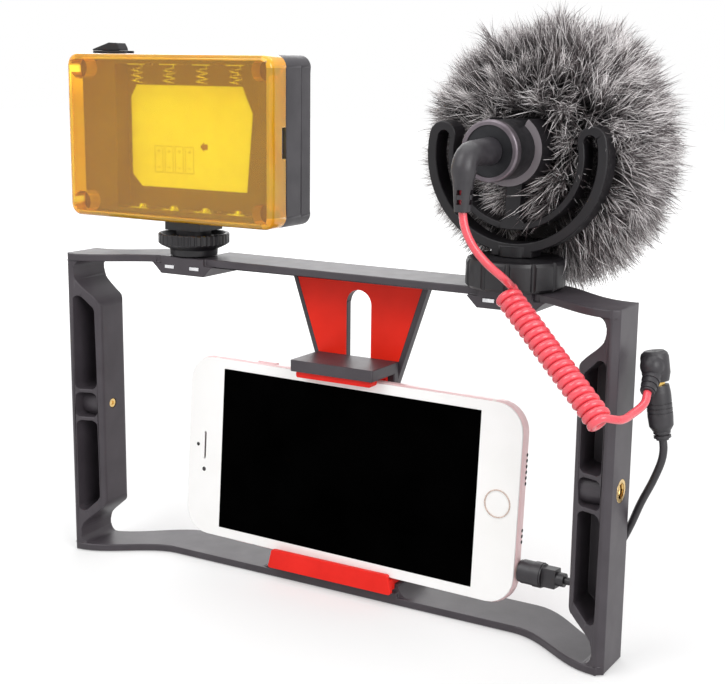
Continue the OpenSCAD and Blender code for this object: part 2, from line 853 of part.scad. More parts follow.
module mute_switch() {
    edge = phone_w / 2;
    color(rose_metal) place_phone() translate([0, -mute_travel / 2, 0])
        side_key(mute_x, mute_len, mute_w, -edge - 0.3, phone_wall + 0.6 - edge);
}

// Clamp
module jaw() {
    color(abs_grey) difference() {
        union() {
            translate([-jaw_w / 2, shelf_front, shelf_under])
                cube([jaw_w, plate_back - shelf_front, shelf_t]);
            translate([-jaw_w / 2, plate_front, plate_low])
                cube([jaw_w, jaw_plate_t, jaw_plate_h + eps]);
            slot_y(key_r, key_low, key_high, plate_back - eps, bracket_back - gap);
        }
        translate([0, 0, screw_z]) {
            rod_y(clamp_screw_d + 2 * seat_gap, plate_front - 1, bracket_back + 1);
            rotate([90, 0, 0]) translate([0, 0, -plate_front - screw_head_t - seat_gap])
                cylinder(d = 2 * clamp_screw_d - 1, h = screw_head_t + 1, $fn = 6);
        }
    }
}

module jaw_pad() {
    half = jaw_w / 2 - 1.8;
    high = shelf_under - seat_gap;
    back = plate_front - seat_gap;
    lip = rounded([[-half, high - jaw_lip_h], [half, high - jaw_lip_h], [half, high], [-half, high]], 1);
    color(signal_red) difference() {
        union() {
            along_y(lip, jaw_lip_front, 0);
            along_x([
                [jaw_lip_front + 1, high - 1.8], [back - pad_back_t, high - 1.8],
                [back - pad_back_t, plate_low + 1], [back, plate_low + 1], [back, high],
                [jaw_lip_front + 1, high]
            ], 1 - half, half - 1);
        }
        phone_room(gap);
    }
}

module clamp_screw() {
    color(steel) translate([0, 0, screw_z]) {
        rod_y(clamp_screw_d, plate_front + screw_head_t - eps, knob_front + clamp_knob_h - 2.4);
        rotate([90, 0, 0]) translate([0, 0, -plate_front - screw_head_t])
            cylinder(d = 2 * clamp_screw_d - 1.2, h = screw_head_t - seat_gap, $fn = 6);
    }
}

module clamp_washer() {
    color(steel) translate([0, 0, screw_z]) difference() {
        rod_y(slot_w + 5, washer_front, washer_front + washer_t);
        rod_y(clamp_screw_d + 2 * seat_gap, washer_front - 1, washer_front + washer_t + 1);
    }
}

module clamp_knob() {
    r = clamp_knob_d / 2;
    back = knob_front + clamp_knob_h;
    color(black_rubber) translate([0, 0, screw_z]) difference() {
        turned_y([
            [0, knob_front], [r - 3, knob_front], [r - 3, knob_front + 2], [r, knob_front + 2.6],
            [r, back - 1.2], [r - 1.2, back], [0, back]
        ]);
        for (i = [0:7])
            rotate([0, 45 * i + 22.5, 0]) translate([r + 1, 0, 0]) rod_y(5, knob_front - 1, back + 1);
        rotate([-90, 0, 0]) translate([0, 0, knob_front - 1])
            cylinder(d = 2 * clamp_screw_d + 2 * seat_gap, h = nut_t + 1 + seat_gap, $fn = 6);
        rod_y(clamp_screw_d + 2 * gap, knob_front, back - 2);
    }
}

module knob_nut() {
    color(brass) translate([0, 0, screw_z]) difference() {
        rotate([-90, 0, 0]) translate([0, 0, knob_front])
            cylinder(d = 2 * clamp_screw_d, h = nut_t, $fn = 6);
        rod_y(clamp_screw_d + 2 * turn_gap, knob_front - 1, knob_front + nut_t + 1);
    }
}

// Shoe feet and locks
module shoe_foot(side, top) {
    translate([side * shoe_x, shoe_y, 0]) {
        translate([-foot_w / 2, -foot_len / 2, foot_low]) cube([foot_w, foot_len, foot_t]);
        translate([-foot_neck_w / 2, -foot_neck_w / 2, foot_low])
            cube([foot_neck_w, foot_neck_w, neck_top - foot_low]);
        translate([0, 0, foot_low]) cylinder(d = post_d, h = top - foot_low);
    }
}
module lamp_foot() { color(steel) shoe_foot(-1, lamp_post_top); }
module mic_foot() { color(steel) shoe_foot(1, mic_post_top); }

module lock_wheel() {
    r = wheel_d / 2;
    bore = post_r + turn_gap;
    color(black_rubber) translate([-shoe_x, shoe_y, wheel_low]) difference() {
        rotate_extrude() polygon([
            [bore, 0], [r - 5, 0], [r - 4.8, 2.6], [r - 1, 4.4], [r, 5.2], [r, wheel_h - 0.4],
            [r - 0.4, wheel_h], [r - 1.6, wheel_h], [r - 2.4, wheel_dish], [bore, wheel_dish]
        ]);
        for (i = [0:35]) rotate(10 * i) translate([r + 0.25, 0, 4]) cylinder(d = 1.3, h = wheel_h);
    }
}

module mic_knob() {
    r = mic_knob_d / 2;
    bore = post_r + turn_gap;
    color(black_rubber) translate([shoe_x, shoe_y, mic_knob_low]) difference() {
        rotate_extrude() polygon([
            [bore, 0], [r - 1, 0], [r, 1], [r, mic_knob_h - 2], [r - 0.6, mic_knob_h - 0.6],
            [r - 2, mic_knob_h], [bore, mic_knob_h]
        ]);
        for (i = [0:11])
            rotate(30 * i + 15) translate([r + 0.2, 0, -1]) cylinder(d = 2.2, h = mic_knob_h + 2);
    }
}

// Lamp
module lamp_block(w, h, r, from, to) {
    along_y(moved(rounded(box(w, h), r), [lamp_x, lamp_z]), from, to);
}

module lamp_stem() {
    bore = post_d + 2 * turn_gap;
    neck_low = wheel_low + wheel_dish + gap;
    block_low = lamp_low - stem_block.z;
    color(black_rubber) translate([-shoe_x, shoe_y, 0]) difference() {
        union() {
            translate([0, 0, neck_low]) cylinder(d = 14.5, h = block_low - neck_low + eps);
            translate([-stem_block.x / 2, -stem_block.y / 2, block_low])
                cube(stem_block - [0, 0, gap]);
            translate([-stem_block.x / 2, rear_y - shoe_y, block_low])
                cube([stem_block.x, stem_block.y / 2 + shoe_y - rear_y, stem_block.z]);
        }
        translate([0, 0, neck_low - 1]) cylinder(d = bore, h = lamp_post_top + 0.2 - neck_low + 1);
    }
}

module lamp_rear_half() {
    top = lamp_low + lamp_h;
    color(abs_grey) difference() {
        union() {
            lamp_block(lamp_w, lamp_h, lamp_r, rear_y, seam_y);
            lamp_block(lamp_w - 2 * rim_inset, lamp_h - 2 * rim_inset, lamp_r - rim_inset,
                rear_y - rim_d, rear_y + eps);
        }
        translate([bay_x - bay_w / 2, rear_y - rim_d - 1, lamp_z - bay_h / 2])
            cube([bay_w, bay_floor - rear_y + rim_d + 1, bay_h]);
        translate([cavity_x - cavity_w / 2, rear_y, lamp_z - bay_h / 2])
            cube([cavity_w, rear_half_d + 1, bay_h]);
        translate([switch_x - 5, switch_y - 1.6, top - 8]) cube([10, 3.2, 9]);
    }
}

module lamp_front_half() {
    lip = 2;
    color(abs_grey) difference() {
        lamp_block(lamp_w, lamp_h, lamp_r, seam_y, lens_y);
        lamp_block(lamp_w - 2 * lamp_wall, lamp_h - 2 * lamp_wall, lamp_r - lamp_wall,
            seam_y - 1, lens_y - 1.8);
        lamp_block(lamp_w - 2 * lamp_wall - 2 * lip, lamp_h - 2 * lamp_wall - 2 * lip, 2,
            seam_y, lens_y + 1);
    }
}

module lamp_sheet(from, thick) {
    fit = 2 * (lamp_wall + gap);
    lamp_block(lamp_w - fit, lamp_h - fit, lamp_r - lamp_wall - gap, from, from + thick);
}
module led_board() { color("#e8e6df") lamp_sheet(seam_y + seat_gap, 1.6); }
module diffuser() { color([0.95, 0.95, 0.97, 0.5]) lamp_sheet(lens_y - 1.8 - seat_gap - 1.5, 1.5); }

module driver_board() {
    color("#23482f") translate([cavity_x - driver_w / 2, rear_y + seat_gap, lamp_z - driver_h / 2])
        cube([driver_w, 1.6, driver_h]);
}

function cell_x(i) = bay_x + (i - 1.5) * cell_pitch;

function spring_path() =
    let (r = (spring_d - spring_wire) / 2, top = lamp_z + bay_h / 2 - contact_t)
    concat(
        [[r, 0, top], [r, 0, top - spring_wire]],
        [for (i = [1:curl_rings * spring_turns])
            let (a = 360 * i / curl_rings)
            [r * cos(a), r * sin(a), top - spring_wire - spring_pitch * i / curl_rings]]
    );

module battery_springs() {
    color(steel) for (i = [0:3])
        translate([cell_x(i), cell_y, 0]) tube(spring_path(), spring_wire, curl_sides);
}

// Flat contacts on the end walls of the battery bay, dimpled at the lower end
module battery_contacts() {
    high = lamp_z + bay_h / 2;
    low = lamp_z - bay_h / 2;
    color(steel) for (i = [0:3]) translate([cell_x(i), cell_y, 0]) {
        for (z = [low, high - contact_t]) 
            translate([-contact_w / 2, -0.7, z]) cube([contact_w, 7.2, contact_t]);
        translate([0, 2, low]) cylinder(d1 = 6, d2 = 3, h = contact_t + 1.4);
    }
}

module battery_label() {
    w = 0.86 * bay_w;
    h = 0.71 * bay_h;
    outline = [[-w / 2, 5 - h / 2], [5 - w / 2, -h / 2], [w / 2 - 3, -h / 2], [w / 2, h / 4],
        [w / 2 - 5, h / 2], [3 - w / 2, h / 2], [-w / 2, h / 2 - 5]];
    color("#f3f1e6") translate([bay_x - 3, 0, lamp_z])
        along_y(outline, bay_floor - label_t, bay_floor);
}

module switch_bezel() {
    color(black_rubber) translate([switch_x, switch_y, lamp_low + lamp_h]) difference() {
        linear_extrude(bezel_t) polygon(rounded(box(bezel_l, bezel_w), bezel_w / 2 - eps, 10));
        translate([-5, -1.6, -1]) cube([10, 3.2, bezel_t + 2]);
    }
}

module lamp_switch() {
    ramp = [[-7.8, 0], [7.4, 0], [7.2, 1], [5.9, 3.1], [1.2, 3.3], [-7.6, 0.6]];
    top = lamp_low + lamp_h + bezel_t + 0.1;
    color(black_rubber) translate([switch_x - switch_travel / 2, switch_y, top]) {
        along_y(ramp, -2.8, 2.8);
        translate([-3.2, -1.3, -5]) cube([6.4, 2.6, 5 + eps]);
    }
}

module amber_filter() {
    corner_in = filter_boss_d / 2 + filter_wall - 0.2;
    wall2 = 2 * filter_wall;
    right = lamp_x + lamp_w / 2;
    color(amber) difference() {
        union() {
            difference() {
                hull() for (a = [0:30:90]) {
                    inset = filter_edge * (1 - cos(a));
                    lamp_block(lamp_w - 2 * inset, lamp_h - 2 * inset, lamp_r - inset,
                        filter_front + filter_edge * (1 - sin(a)), filter_back);
                }
                lamp_block(lamp_w - wall2, lamp_h - wall2, lamp_r - filter_wall,
                    filter_front + filter_wall, filter_back + 1);
            }
            for (x = [-1, 1], z = [-1, 1])
                translate([lamp_x + x * (lamp_w / 2 - corner_in), 0, lamp_z + z * (lamp_h / 2 - corner_in)])
                    rod_y(filter_boss_d, filter_front + 0.5, rear_y - rim_d - gap);
        }
        translate([right - 2 * filter_wall, filter_back - 3, lamp_z - 6]) cube([3 * filter_wall, 4, 12]);
    }
}

// Microphone
module shock_mount() {
    from = 180 - tip_angle;
    to = 360 + tip_angle;
    mid = (hoop_r + strand_r - strand_t) / 2;
    width = hoop_r - strand_r + strand_t;
    hole_mid = (hoop_r - hoop_t + strand_r) / 2;
    hole_w = hoop_r - hoop_t - strand_r;
    clip_r = mic_r + clip_wall;
    color(black_rubber) translate([mic_x, 0, 0]) difference() {
        union() {
            difference() {
                along_y(moved(arc_band(mid, width, from, to, 40), [0, hoop_z]), hoop_front, hoop_back);
                along_y(moved(arc_band(hole_mid, hole_w, from, to, 40), [0, hoop_z]),
                    hoop_front - 1, hoop_back + 1);
            }
            translate([-8, hoop_front, saddle_low]) cube([16, hoop_depth, saddle_top - saddle_low]);
            translate([0, shoe_y, saddle_low]) cylinder(d = post_d + 5, h = 3.4);
            along_y([
                [-6.4, hoop_z - strand_r + 0.6], [6.4, hoop_z - strand_r + 0.6], [3, hoop_z - strand_r + 5],
                [3, mic_z - mic_r - 1], [-3, mic_z - mic_r - 1], [-3, hoop_z - strand_r + 5]
            ], hoop_front, hoop_back);
            translate([0, 0, mic_z]) rod_y(2 * clip_r, clip_front, clip_back);
        }
        translate([0, 0, mic_z]) {
            rod_y(mic_d + 2 * seat_gap, clip_front - 1, hoop_back + 1);
            along_y([[0, 0], 2 * clip_r * [sin(clip_half_gap), cos(clip_half_gap)],
                2 * clip_r * [-sin(clip_half_gap), cos(clip_half_gap)]], clip_front - 1, clip_back + 1);
        }
        translate([0, shoe_y, saddle_low - 1])
            cylinder(d = post_d + 2 * seat_gap, h = mic_post_top - saddle_low + 1 + seat_gap);
    }
}

module on_mic_axis() { translate([mic_x, 0, mic_z]) children(); }

module mic_barrel() {
    color("#232325") on_mic_axis() difference() {
        union() {
            rod_y(mic_d - 2 * mic_ring_t, mic_disc, mic_rear + mic_ring_len + eps);
            rod_y(mic_d, mic_rear + mic_ring_len, mic_split);
        }
        rod_y(pin_d + 2 * seat_gap, mic_rear, mic_rear + pin_len + pin_room);
    }
}

module mic_rear_ring() {
    r = mic_r + 0.3;
    bore = mic_r - mic_ring_t + seat_gap;
    back = mic_rear + mic_ring_len - seat_gap;
    color("#5c5a60") on_mic_axis() turned_y([
        [bore, mic_rear], [r - 0.5, mic_rear], [r, mic_rear + 0.5], [r, back], [bore, back]
    ]);
}

// Slotted tube in front of the barrel, inside the windscreen
module mic_capsule() {
    color("#2d2d30") on_mic_axis() difference() {
        rod_y(mic_d, mic_split, mic_front);
        for (y = [mic_split + vent_edge:vent_pitch:mic_front - vent_edge], a = [0, 90])
            rotate([0, a, 0]) translate([-mic_r - 1, y, -vent_h / 2])
                cube([vent_deep + 1, vent_w, vent_h]);
    }
}

// Dense body of the furry windscreen, pressed in over the lock knob
module windscreen() {
    bore = mic_r + gap;
    low = asin((fur_rear + 1 - fur_y) / fur_r);
    color("#6b6966") difference() {
        on_mic_axis() turned_y(concat(
            [[bore, fur_rear], [fur_r * cos(low) - 2.5, fur_rear]],
            [for (i = [0:22])
                let (a = low + (90 - low) * i / 22)
                [i == 22 ? 0 : fur_r * cos(a), fur_y + fur_r * sin(a)]],
            [[0, mic_front + 1], [bore, mic_front + 1]]
        ));
        translate([shoe_x, shoe_y, 0])
            cylinder(d = mic_knob_d + 1.2, h = mic_knob_low + mic_knob_h + 0.6);
    }
}

// Cords
module mic_plug() {
    bend = [for (i = [0:6])
        [0, boot_y + boot_bend * (1 - sin(15 * i)), boot_bend * (cos(15 * i) - 1)]];
    spine = concat(
        [[0, mic_disc - seat_gap, 0], [0, mic_disc - 3, 0]], bend,
        [[0, boot_y, -lead_in], [0, boot_y, -boot_drop]]
    );
    widths = concat([elbow_d + 1.4, elbow_d + 0.8], [for (i = [0:6]) elbow_d], [boot_d + 1.2, boot_d]);
    color(black_rubber) on_mic_axis() difference() {
        tube(spine, widths, 24);
        rod_y(pin_d + 2 * seat_gap, mic_rear - pin_root - seat_gap, mic_rear + 1);
        translate([0, boot_y, -boot_drop - 1])
            cylinder(d = red_d + 2 * seat_gap, h = boot_drop - lead_in + 1);
        for (z = [-16.6, -13.4], turn = [0, 90])
            translate([0, boot_y, z]) rotate(turn) translate([-boot_d, -0.9, 0]) cube([2 * boot_d, 1.8, 1.7]);
    }
}

// The helix of the curly cord, with a straight run at each end
function curl_frame() =
    let (a = unit(curl_to - curl_from), e = unit(cross([0, 1, 0], a)))
    [a, -e, cross(a, -e)];
function curl_path() =
    let (
        f = curl_frame(),
        r = (curl_d - red_d) / 2,
        last = curl_rings * curl_turns,
        step = (curl_to - curl_from) / last,
        turns = [for (i = [0:last])
            let (t = -360 * i / curl_rings)
            curl_from + step * i + r * (cos(t) * f[1] + sin(t) * f[2])],
        into = unit(turns[1] - turns[0]),
        out = unit(turns[last] - turns[last - 1])
    )
    concat([turns[0] - red_d * into], turns, [turns[last] + red_d * out]);

curl_points = curl_path();
curl_first = curl_points[0];
curl_last = curl_points[len(curl_points) - 1];
curl_in = unit(curl_points[1] - curl_first);
curl_out = unit(curl_last - curl_points[len(curl_points) - 2]);
echo("curly cord least gap", least_gap(curl_points, red_d, curl_rings));
echo("battery spring least gap", least_gap(spring_path(), spring_wire, curl_rings));

module curly_cord() { color(cord_red) tube(curl_points, red_d, curl_sides); }

module red_lead() {
    color(cord_red) tube(concat(
        [boot_end + [0, 0, boot_drop - lead_in - seat_gap], boot_end - [0, 0, red_d]], lead_points,
        [curl_first - red_d * curl_in, curl_first]
    ), red_d, 8);
}

// Frame of the right-angle plug; its strain relief leaves towards the operator and down
module at_socket() { translate(socket_top) rotate([0, -socket_tilt, 0]) children(); }
function from_socket(p) =
    socket_top + [p.x * cos(socket_tilt) - p.z * sin(socket_tilt), p.y,
        p.x * sin(socket_tilt) + p.z * cos(socket_tilt)];
relief_way = [0, -sin(relief_turn), cos(relief_turn)];
relief_end = from_socket([0, 0, head_z] + relief_len * relief_way);
relief_axis = unit(relief_end - from_socket([0, 0, head_z]));

module red_tail() {
    color(cord_red) tube(concat(
        [curl_last, curl_last + red_d * curl_out], tail_points,
        [relief_end + 1.6 * red_d * relief_axis, relief_end]
    ), red_d, 8);
}

module adapter_plug() {
    color(black_rubber) at_socket() difference() {
        union() {
            rotate_extrude() polygon([
                [0, 1.2], [4.2, 1.2], [4.9, 4], [4.9, 9.6], [4.5, 10.9], [3.4, 11.8], [0, 12]
            ]);
            hull() {
                translate([0, 0, head_z]) sphere(d = 9);
                translate([0, -3, head_z]) sphere(d = 8.4);
            }
            translate([0, 0, head_z]) rotate([relief_turn, 0, 0]) {
                cylinder(d1 = 7.4, d2 = 4.6, h = relief_len);
                for (s = [6.6:2.2:11]) translate([0, 0, s]) cylinder(d = 7.6 - 0.2 * s, h = 1.3);
            }
        }
        translate([0, 0, -1]) cylinder(d = pin_d + 2 * seat_gap, h = pin_root + 2 * pin_room + 1);
    }
}

module adapter_socket() {
    r = socket_d / 2;
    low = -socket_len;
    color(black_rubber) at_socket() difference() {
        union() {
            rotate_extrude() polygon([
                [0, low], [r - 1.2, low], [r - 0.2, low + 1.6], [r, low + 5], [r, -3], [r - 0.4, -0.1],
                [0, -0.1]
            ]);
            translate([0, 0, low - socket_tail]) cylinder(d1 = 4.4, d2 = 5.4, h = socket_tail + 0.5);
            for (z = [low - 2.6, low - 1]) translate([0, 0, z]) cylinder(d = 6, h = 0.9);
        }
        for (z = [-9.8, -8.2, -6.6]) translate([0, 0, z]) difference() {
            cylinder(d = socket_d + 1, h = 0.5);
            cylinder(d = socket_d - 0.5, h = 0.5);
        }
        translate([0, 0, -pin_len]) cylinder(d = pin_d + 2 * seat_gap, h = pin_len + 1);
    }
}

cable_start = from_socket([0, 0, -socket_len - socket_tail]);
cable_down = unit(cable_start - socket_top);
jack_mouth = [phone_l / 2, key_y, jack_z];
plug_end_local = jack_mouth + [plug_barrel + plug_relief + plug_stand, 0, 0];
function from_phone(p) =
    let (
        y = p.y * cos(phone_lean) + p.z * sin(phone_lean),
        z = p.z * cos(phone_lean) - p.y * sin(phone_lean)
    )
    [phone_off, phone_y, phone_z] + [p.x * cos(phone_turn) + y * sin(phone_turn),
        y * cos(phone_turn) - p.x * sin(phone_turn), z];
plug_end = from_phone(plug_end_local);
plug_axis = unit(plug_end - from_phone(jack_mouth));

module adapter_cable() {
    color(black_rubber) tube(concat(
        [cable_start, cable_start + cable_d * cable_down], cable_points,
        [plug_end + cable_d * plug_axis, plug_end]
    ), cable_d, 8);
}

module phone_plug() {
    color(black_rubber) place_phone() translate([phone_l / 2 + plug_stand, key_y, jack_z]) difference() {
        union() {
            rod_x(plug_d - 0.6, 0, 1.4);
            rod_x(plug_d, 1, plug_barrel);
            rod_x(plug_d + 0.6, plug_barrel - 3.6, plug_barrel - 0.6);
            translate([plug_barrel - eps, -2.6, -3.6]) cube([5.4, 5.2, 7.2]);
            rod_x(5.2, plug_barrel + 5, plug_barrel + plug_relief);
        }
        rod_x(pin_d + 2 * seat_gap, -1, phone_pin_root);
    }
}

// Gold pins of the three plugs, each with its collar
module plug_pins() {
    color(brass) {
        on_mic_axis() rod_y(pin_d, mic_rear - pin_root, mic_rear + pin_len);
        at_socket() {
            translate([0, 0, pin_room - pin_len]) cylinder(d = pin_d, h = pin_len + pin_root);
            cylinder(d = socket_collar_d, h = socket_collar_h);
        }
        place_phone() translate([phone_l / 2, key_y, jack_z]) {
            rod_x(pin_d, pin_room - pin_len, phone_pin_root);
            rod_x(phone_collar_d, seat_gap, plug_stand - seat_gap);
        }
    }
}

rig_frame();
red_panel();
lower_pad();
grip_insert_left();
grip_insert_right();
tripod_insert();
shoe_spring_left();
shoe_spring_right();
phone_body();
phone_glass();
phone_display();
phone_battery();
phone_board();
phone_camera();
phone_jack();
home_button();
volume_up();
volume_down();
power_button();
mute_switch();
jaw();
jaw_pad();
clamp_screw();
clamp_washer();
clamp_knob();
knob_nut();
lamp_foot();
lock_wheel();
lamp_stem();
lamp_rear_half();
lamp_front_half();
led_board();
diffuser();
driver_board();
battery_springs();
battery_contacts();
battery_label();
switch_bezel();
lamp_switch();
amber_filter();
mic_foot();
mic_knob();
shock_mount();
mic_barrel();
mic_rear_ring();
mic_capsule();
windscreen();
mic_plug();
red_lead();
curly_cord();
red_tail();
adapter_plug();
adapter_socket();
adapter_cable();
phone_plug();
plug_pins();
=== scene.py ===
"""Looks of the smartphone video rig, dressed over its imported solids.

Every piece is in metres and in the solids' own frame: X to the operator's right, Y away from the
operator, Z up, with the origin at the mouth of the tripod thread under the lower bar.
"""

import json
import logging
import math
from dataclasses import dataclass, field
from enum import Enum
from typing import Any, Callable, Sequence

import bmesh
import bpy
import numpy as np
from mathutils import Matrix, Vector, kdtree

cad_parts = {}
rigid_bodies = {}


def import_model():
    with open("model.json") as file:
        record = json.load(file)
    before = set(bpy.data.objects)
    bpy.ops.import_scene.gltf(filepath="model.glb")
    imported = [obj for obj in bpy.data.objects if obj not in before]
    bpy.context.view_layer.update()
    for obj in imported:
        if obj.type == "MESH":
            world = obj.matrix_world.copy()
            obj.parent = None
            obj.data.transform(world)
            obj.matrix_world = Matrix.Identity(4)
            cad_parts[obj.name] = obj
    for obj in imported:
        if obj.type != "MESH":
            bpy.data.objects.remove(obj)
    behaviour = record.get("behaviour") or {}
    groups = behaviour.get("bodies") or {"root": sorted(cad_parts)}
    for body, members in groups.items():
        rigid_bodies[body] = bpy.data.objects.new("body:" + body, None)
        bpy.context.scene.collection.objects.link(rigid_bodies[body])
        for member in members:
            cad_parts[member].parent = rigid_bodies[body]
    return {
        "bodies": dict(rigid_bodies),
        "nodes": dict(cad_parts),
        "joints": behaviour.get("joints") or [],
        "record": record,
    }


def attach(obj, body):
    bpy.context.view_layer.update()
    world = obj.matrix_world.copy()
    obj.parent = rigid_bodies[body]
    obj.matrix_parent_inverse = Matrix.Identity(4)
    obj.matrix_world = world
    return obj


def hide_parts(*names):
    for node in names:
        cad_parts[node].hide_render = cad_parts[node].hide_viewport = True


LOG = logging.getLogger("rig")
MM = 0.001
IMAGE_W = 725

# Noise seldom leaves these values, so gloss and tone change between them.
GLOSS_RANGE = (0.3, 0.7)
TONE_RANGE = (0.32, 0.68)
# Size of the patches of gloss, as a share of the patches of tone.
GLOSS_SHARE = 0.45
LEAST_ROUGHNESS = 0.02

Pair = tuple[float, float]
Point = tuple[float, float, float]


class Body(Enum):
    """The bodies that new pieces ride on."""

    RIG = "rig"
    LAMP = "lamp"
    WINDSCREEN = "windscreen"


def linear(colour: str) -> tuple[float, float, float, float]:
    """Turn an sRGB hex colour to linear light.

    Args:
        colour: a value such as "#e22a1e".

    Returns:
        Red, green, blue and alpha, with alpha 1.
    """
    parts = [int(colour[i:i + 2], 16) / 255 for i in (1, 3, 5)]
    low = [c / 12.92 if c <= 0.04045 else ((c + 0.055) / 1.055) ** 2.4 for c in parts]
    return (low[0], low[1], low[2], 1.0)


def unit(v: np.ndarray) -> np.ndarray:
    """A vector of length 1 along v."""
    return v / np.linalg.norm(v)


def unit_rows(v: np.ndarray) -> np.ndarray:
    """Rows of length 1 along the rows of v."""
    return v / np.linalg.norm(v, axis=1)[:, None]


def in_metres(x: float, y: float, z: float) -> Point:
    """A point in millimetres as a point in metres."""
    return (x * MM, y * MM, z * MM)


def per_metre(size_mm: float) -> float:
    """Scale of a texture whose features are size_mm across, on coordinates in metres."""
    return 1.0 / (size_mm * MM)


def add_node(tree: bpy.types.NodeTree, kind: str, inputs: dict[Any, Any] | None = None,
             **settings: Any) -> bpy.types.Node:
    """Add a node with its settings, values and links.

    Args:
        tree: the tree that gets the node.
        kind: Blender's name of the node type.
        inputs: input name or number to a value, or to the output socket that feeds it.
        settings: properties of the node itself.

    Returns:
        The new node.
    """
    node = tree.nodes.new(kind)
    for name, value in settings.items():
        setattr(node, name, value)
    for name, value in (inputs or {}).items():
        if isinstance(value, bpy.types.NodeSocket):
            tree.links.new(value, node.inputs[name])
        else:
            node.inputs[name].default_value = value
    return node


def fresh_tree(owner: bpy.types.Material | bpy.types.World) -> bpy.types.NodeTree:
    """The node tree of a new material or world, emptied.

    Args:
        owner: the material or world.

    Returns:
        Its tree, without nodes.
    """
    owner.use_nodes = True
    owner.node_tree.nodes.clear()
    return owner.node_tree


@dataclass(frozen=True)
class Finish:
    """A surface with a mottled colour, a grain that stands up and an uneven gloss."""

    name: str
    light: str
    dark: str
    roughness: float
    spread: float = 0.08
    metallic: float = 0.0
    ior: float = 1.5
    mottle_mm: float = 9.0
    # A moulded or blasted grain is too fine to show, so it is drawn as coarse as it needs to be.
    grain_mm: float = 0.6
    depth_mm: float = 0.02
    specular: float = 0.5
    coat: float = 0.0
    coat_roughness: float = 0.05
    sheen: float = 0.0
    alpha: float = 1.0

    def material(self) -> bpy.types.Material:
        """The material of this finish, made once.

        Returns:
            The material, the same one at every call.
        """
        found = bpy.data.materials.get(self.name)
        if found:
            return found
        made = bpy.data.materials.new(self.name)
        tree = fresh_tree(made)
        shader = add_node(tree, "ShaderNodeBsdfPrincipled", {
            "Metallic": self.metallic, "Specular IOR Level": self.specular, "Coat Weight": self.coat,
            "Coat Roughness": self.coat_roughness, "Sheen Weight": self.sheen, "Alpha": self.alpha})
        if not self.metallic:
            shader.inputs["IOR"].default_value = self.ior
        self.wire(tree, shader)
        add_node(tree, "ShaderNodeOutputMaterial", {0: shader.outputs[0]})
        return made

    def wire(self, tree: bpy.types.NodeTree, shader: bpy.types.Node) -> None:
        """Wire colour, roughness and bump into the shader.

        Args:
            tree: the material's tree.
            shader: its main shader.
        """
        place = add_node(tree, "ShaderNodeTexCoord").outputs["Object"]
        tree.links.new(self.colour(tree, place), shader.inputs["Base Color"])
        gloss = add_node(tree, "ShaderNodeTexNoise", {
            "Vector": place, "Scale": per_metre(self.mottle_mm * GLOSS_SHARE), "Detail": 3.0})
        rough = add_node(tree, "ShaderNodeMapRange", {
            "Value": gloss.outputs[0], "From Min": GLOSS_RANGE[0], "From Max": GLOSS_RANGE[1],
            "To Min": max(LEAST_ROUGHNESS, self.roughness - self.spread),
            "To Max": min(1.0, self.roughness + self.spread)})
        tree.links.new(rough.outputs[0], shader.inputs["Roughness"])
        grain = add_node(tree, "ShaderNodeTexNoise", {
            "Vector": place, "Scale": per_metre(self.grain_mm), "Detail": 2.0, "Roughness": 0.6})
        bump = add_node(tree, "ShaderNodeBump", {
            "Height": grain.outputs[0], "Strength": 1.0, "Distance": self.depth_mm * MM})
        tree.links.new(bump.outputs[0], shader.inputs["Normal"])

    def colour(self, tree: bpy.types.NodeTree, place: bpy.types.NodeSocket) -> bpy.types.NodeSocket:
        """Colour of the surface: two close tones, mottled.

        Args:
            tree: the material's tree.
            place: the coordinates to read.

        Returns:
            The colour's socket.
        """
        tone = add_node(tree, "ShaderNodeTexNoise", {
            "Vector": place, "Scale": per_metre(self.mottle_mm), "Detail": 4.0})
        return blend_colours(tree, tone.outputs[0], self.dark, self.light, *TONE_RANGE)


def blend_colours(tree: bpy.types.NodeTree, factor: bpy.types.NodeSocket, low: Any, high: Any,
                  start: float = 0.0, stop: float = 1.0) -> bpy.types.NodeSocket:
    """Mix two colours as a factor goes from start to stop.

    Args:
        tree: the material's tree.
        factor: the value that picks between them.
        low: hex colour, or socket, at start.
        high: hex colour, or socket, at stop.
        start: the factor where low ends.
        stop: the factor where high begins.

    Returns:
        The mixed colour's socket.
    """
    share = add_node(tree, "ShaderNodeMapRange", {
        "Value": factor, "From Min": start, "From Max": stop})
    mix = add_node(tree, "ShaderNodeMix", {"Factor": share.outputs[0]}, data_type="RGBA")
    for slot, value in ((6, low), (7, high)):
        if isinstance(value, str):
            mix.inputs[slot].default_value = linear(value)
        else:
            tree.links.new(value, mix.inputs[slot])
    return mix.outputs[2]


@dataclass(frozen=True)
class BandedMetal(Finish):
    """Bead-blasted aluminium with pale plastic antenna bands across the phone's ends."""

    band: str = "#f4e4e1"
    band_at_mm: float = 65.4
    band_mm: float = 1.7
    centre: Point = (0.0027, -0.00607, 0.04961)
    turn_deg: float = 2.0

    def colour(self, tree: bpy.types.NodeTree, place: bpy.types.NodeSocket) -> bpy.types.NodeSocket:
        """Two tones of metal, with a pale band near each end of the phone.

        Args:
            tree: the material's tree.
            place: the coordinates to read.

        Returns:
            The colour's socket.
        """
        metal = super().colour(tree, place)
        turn = math.radians(self.turn_deg)
        off = add_node(tree, "ShaderNodeVectorMath", {0: place, 1: self.centre}, operation="SUBTRACT")
        along = add_node(tree, "ShaderNodeVectorMath", {
            0: off.outputs[0], 1: (math.cos(turn), -math.sin(turn), 0.0)}, operation="DOT_PRODUCT")
        far = add_node(tree, "ShaderNodeMath", {0: along.outputs["Value"]}, operation="ABSOLUTE")
        near = add_node(tree, "ShaderNodeMath", {
            0: far.outputs[0], 1: self.band_at_mm * MM, 2: self.band_mm * MM / 2}, operation="COMPARE")
        return blend_colours(tree, near.outputs[0], metal, self.band)


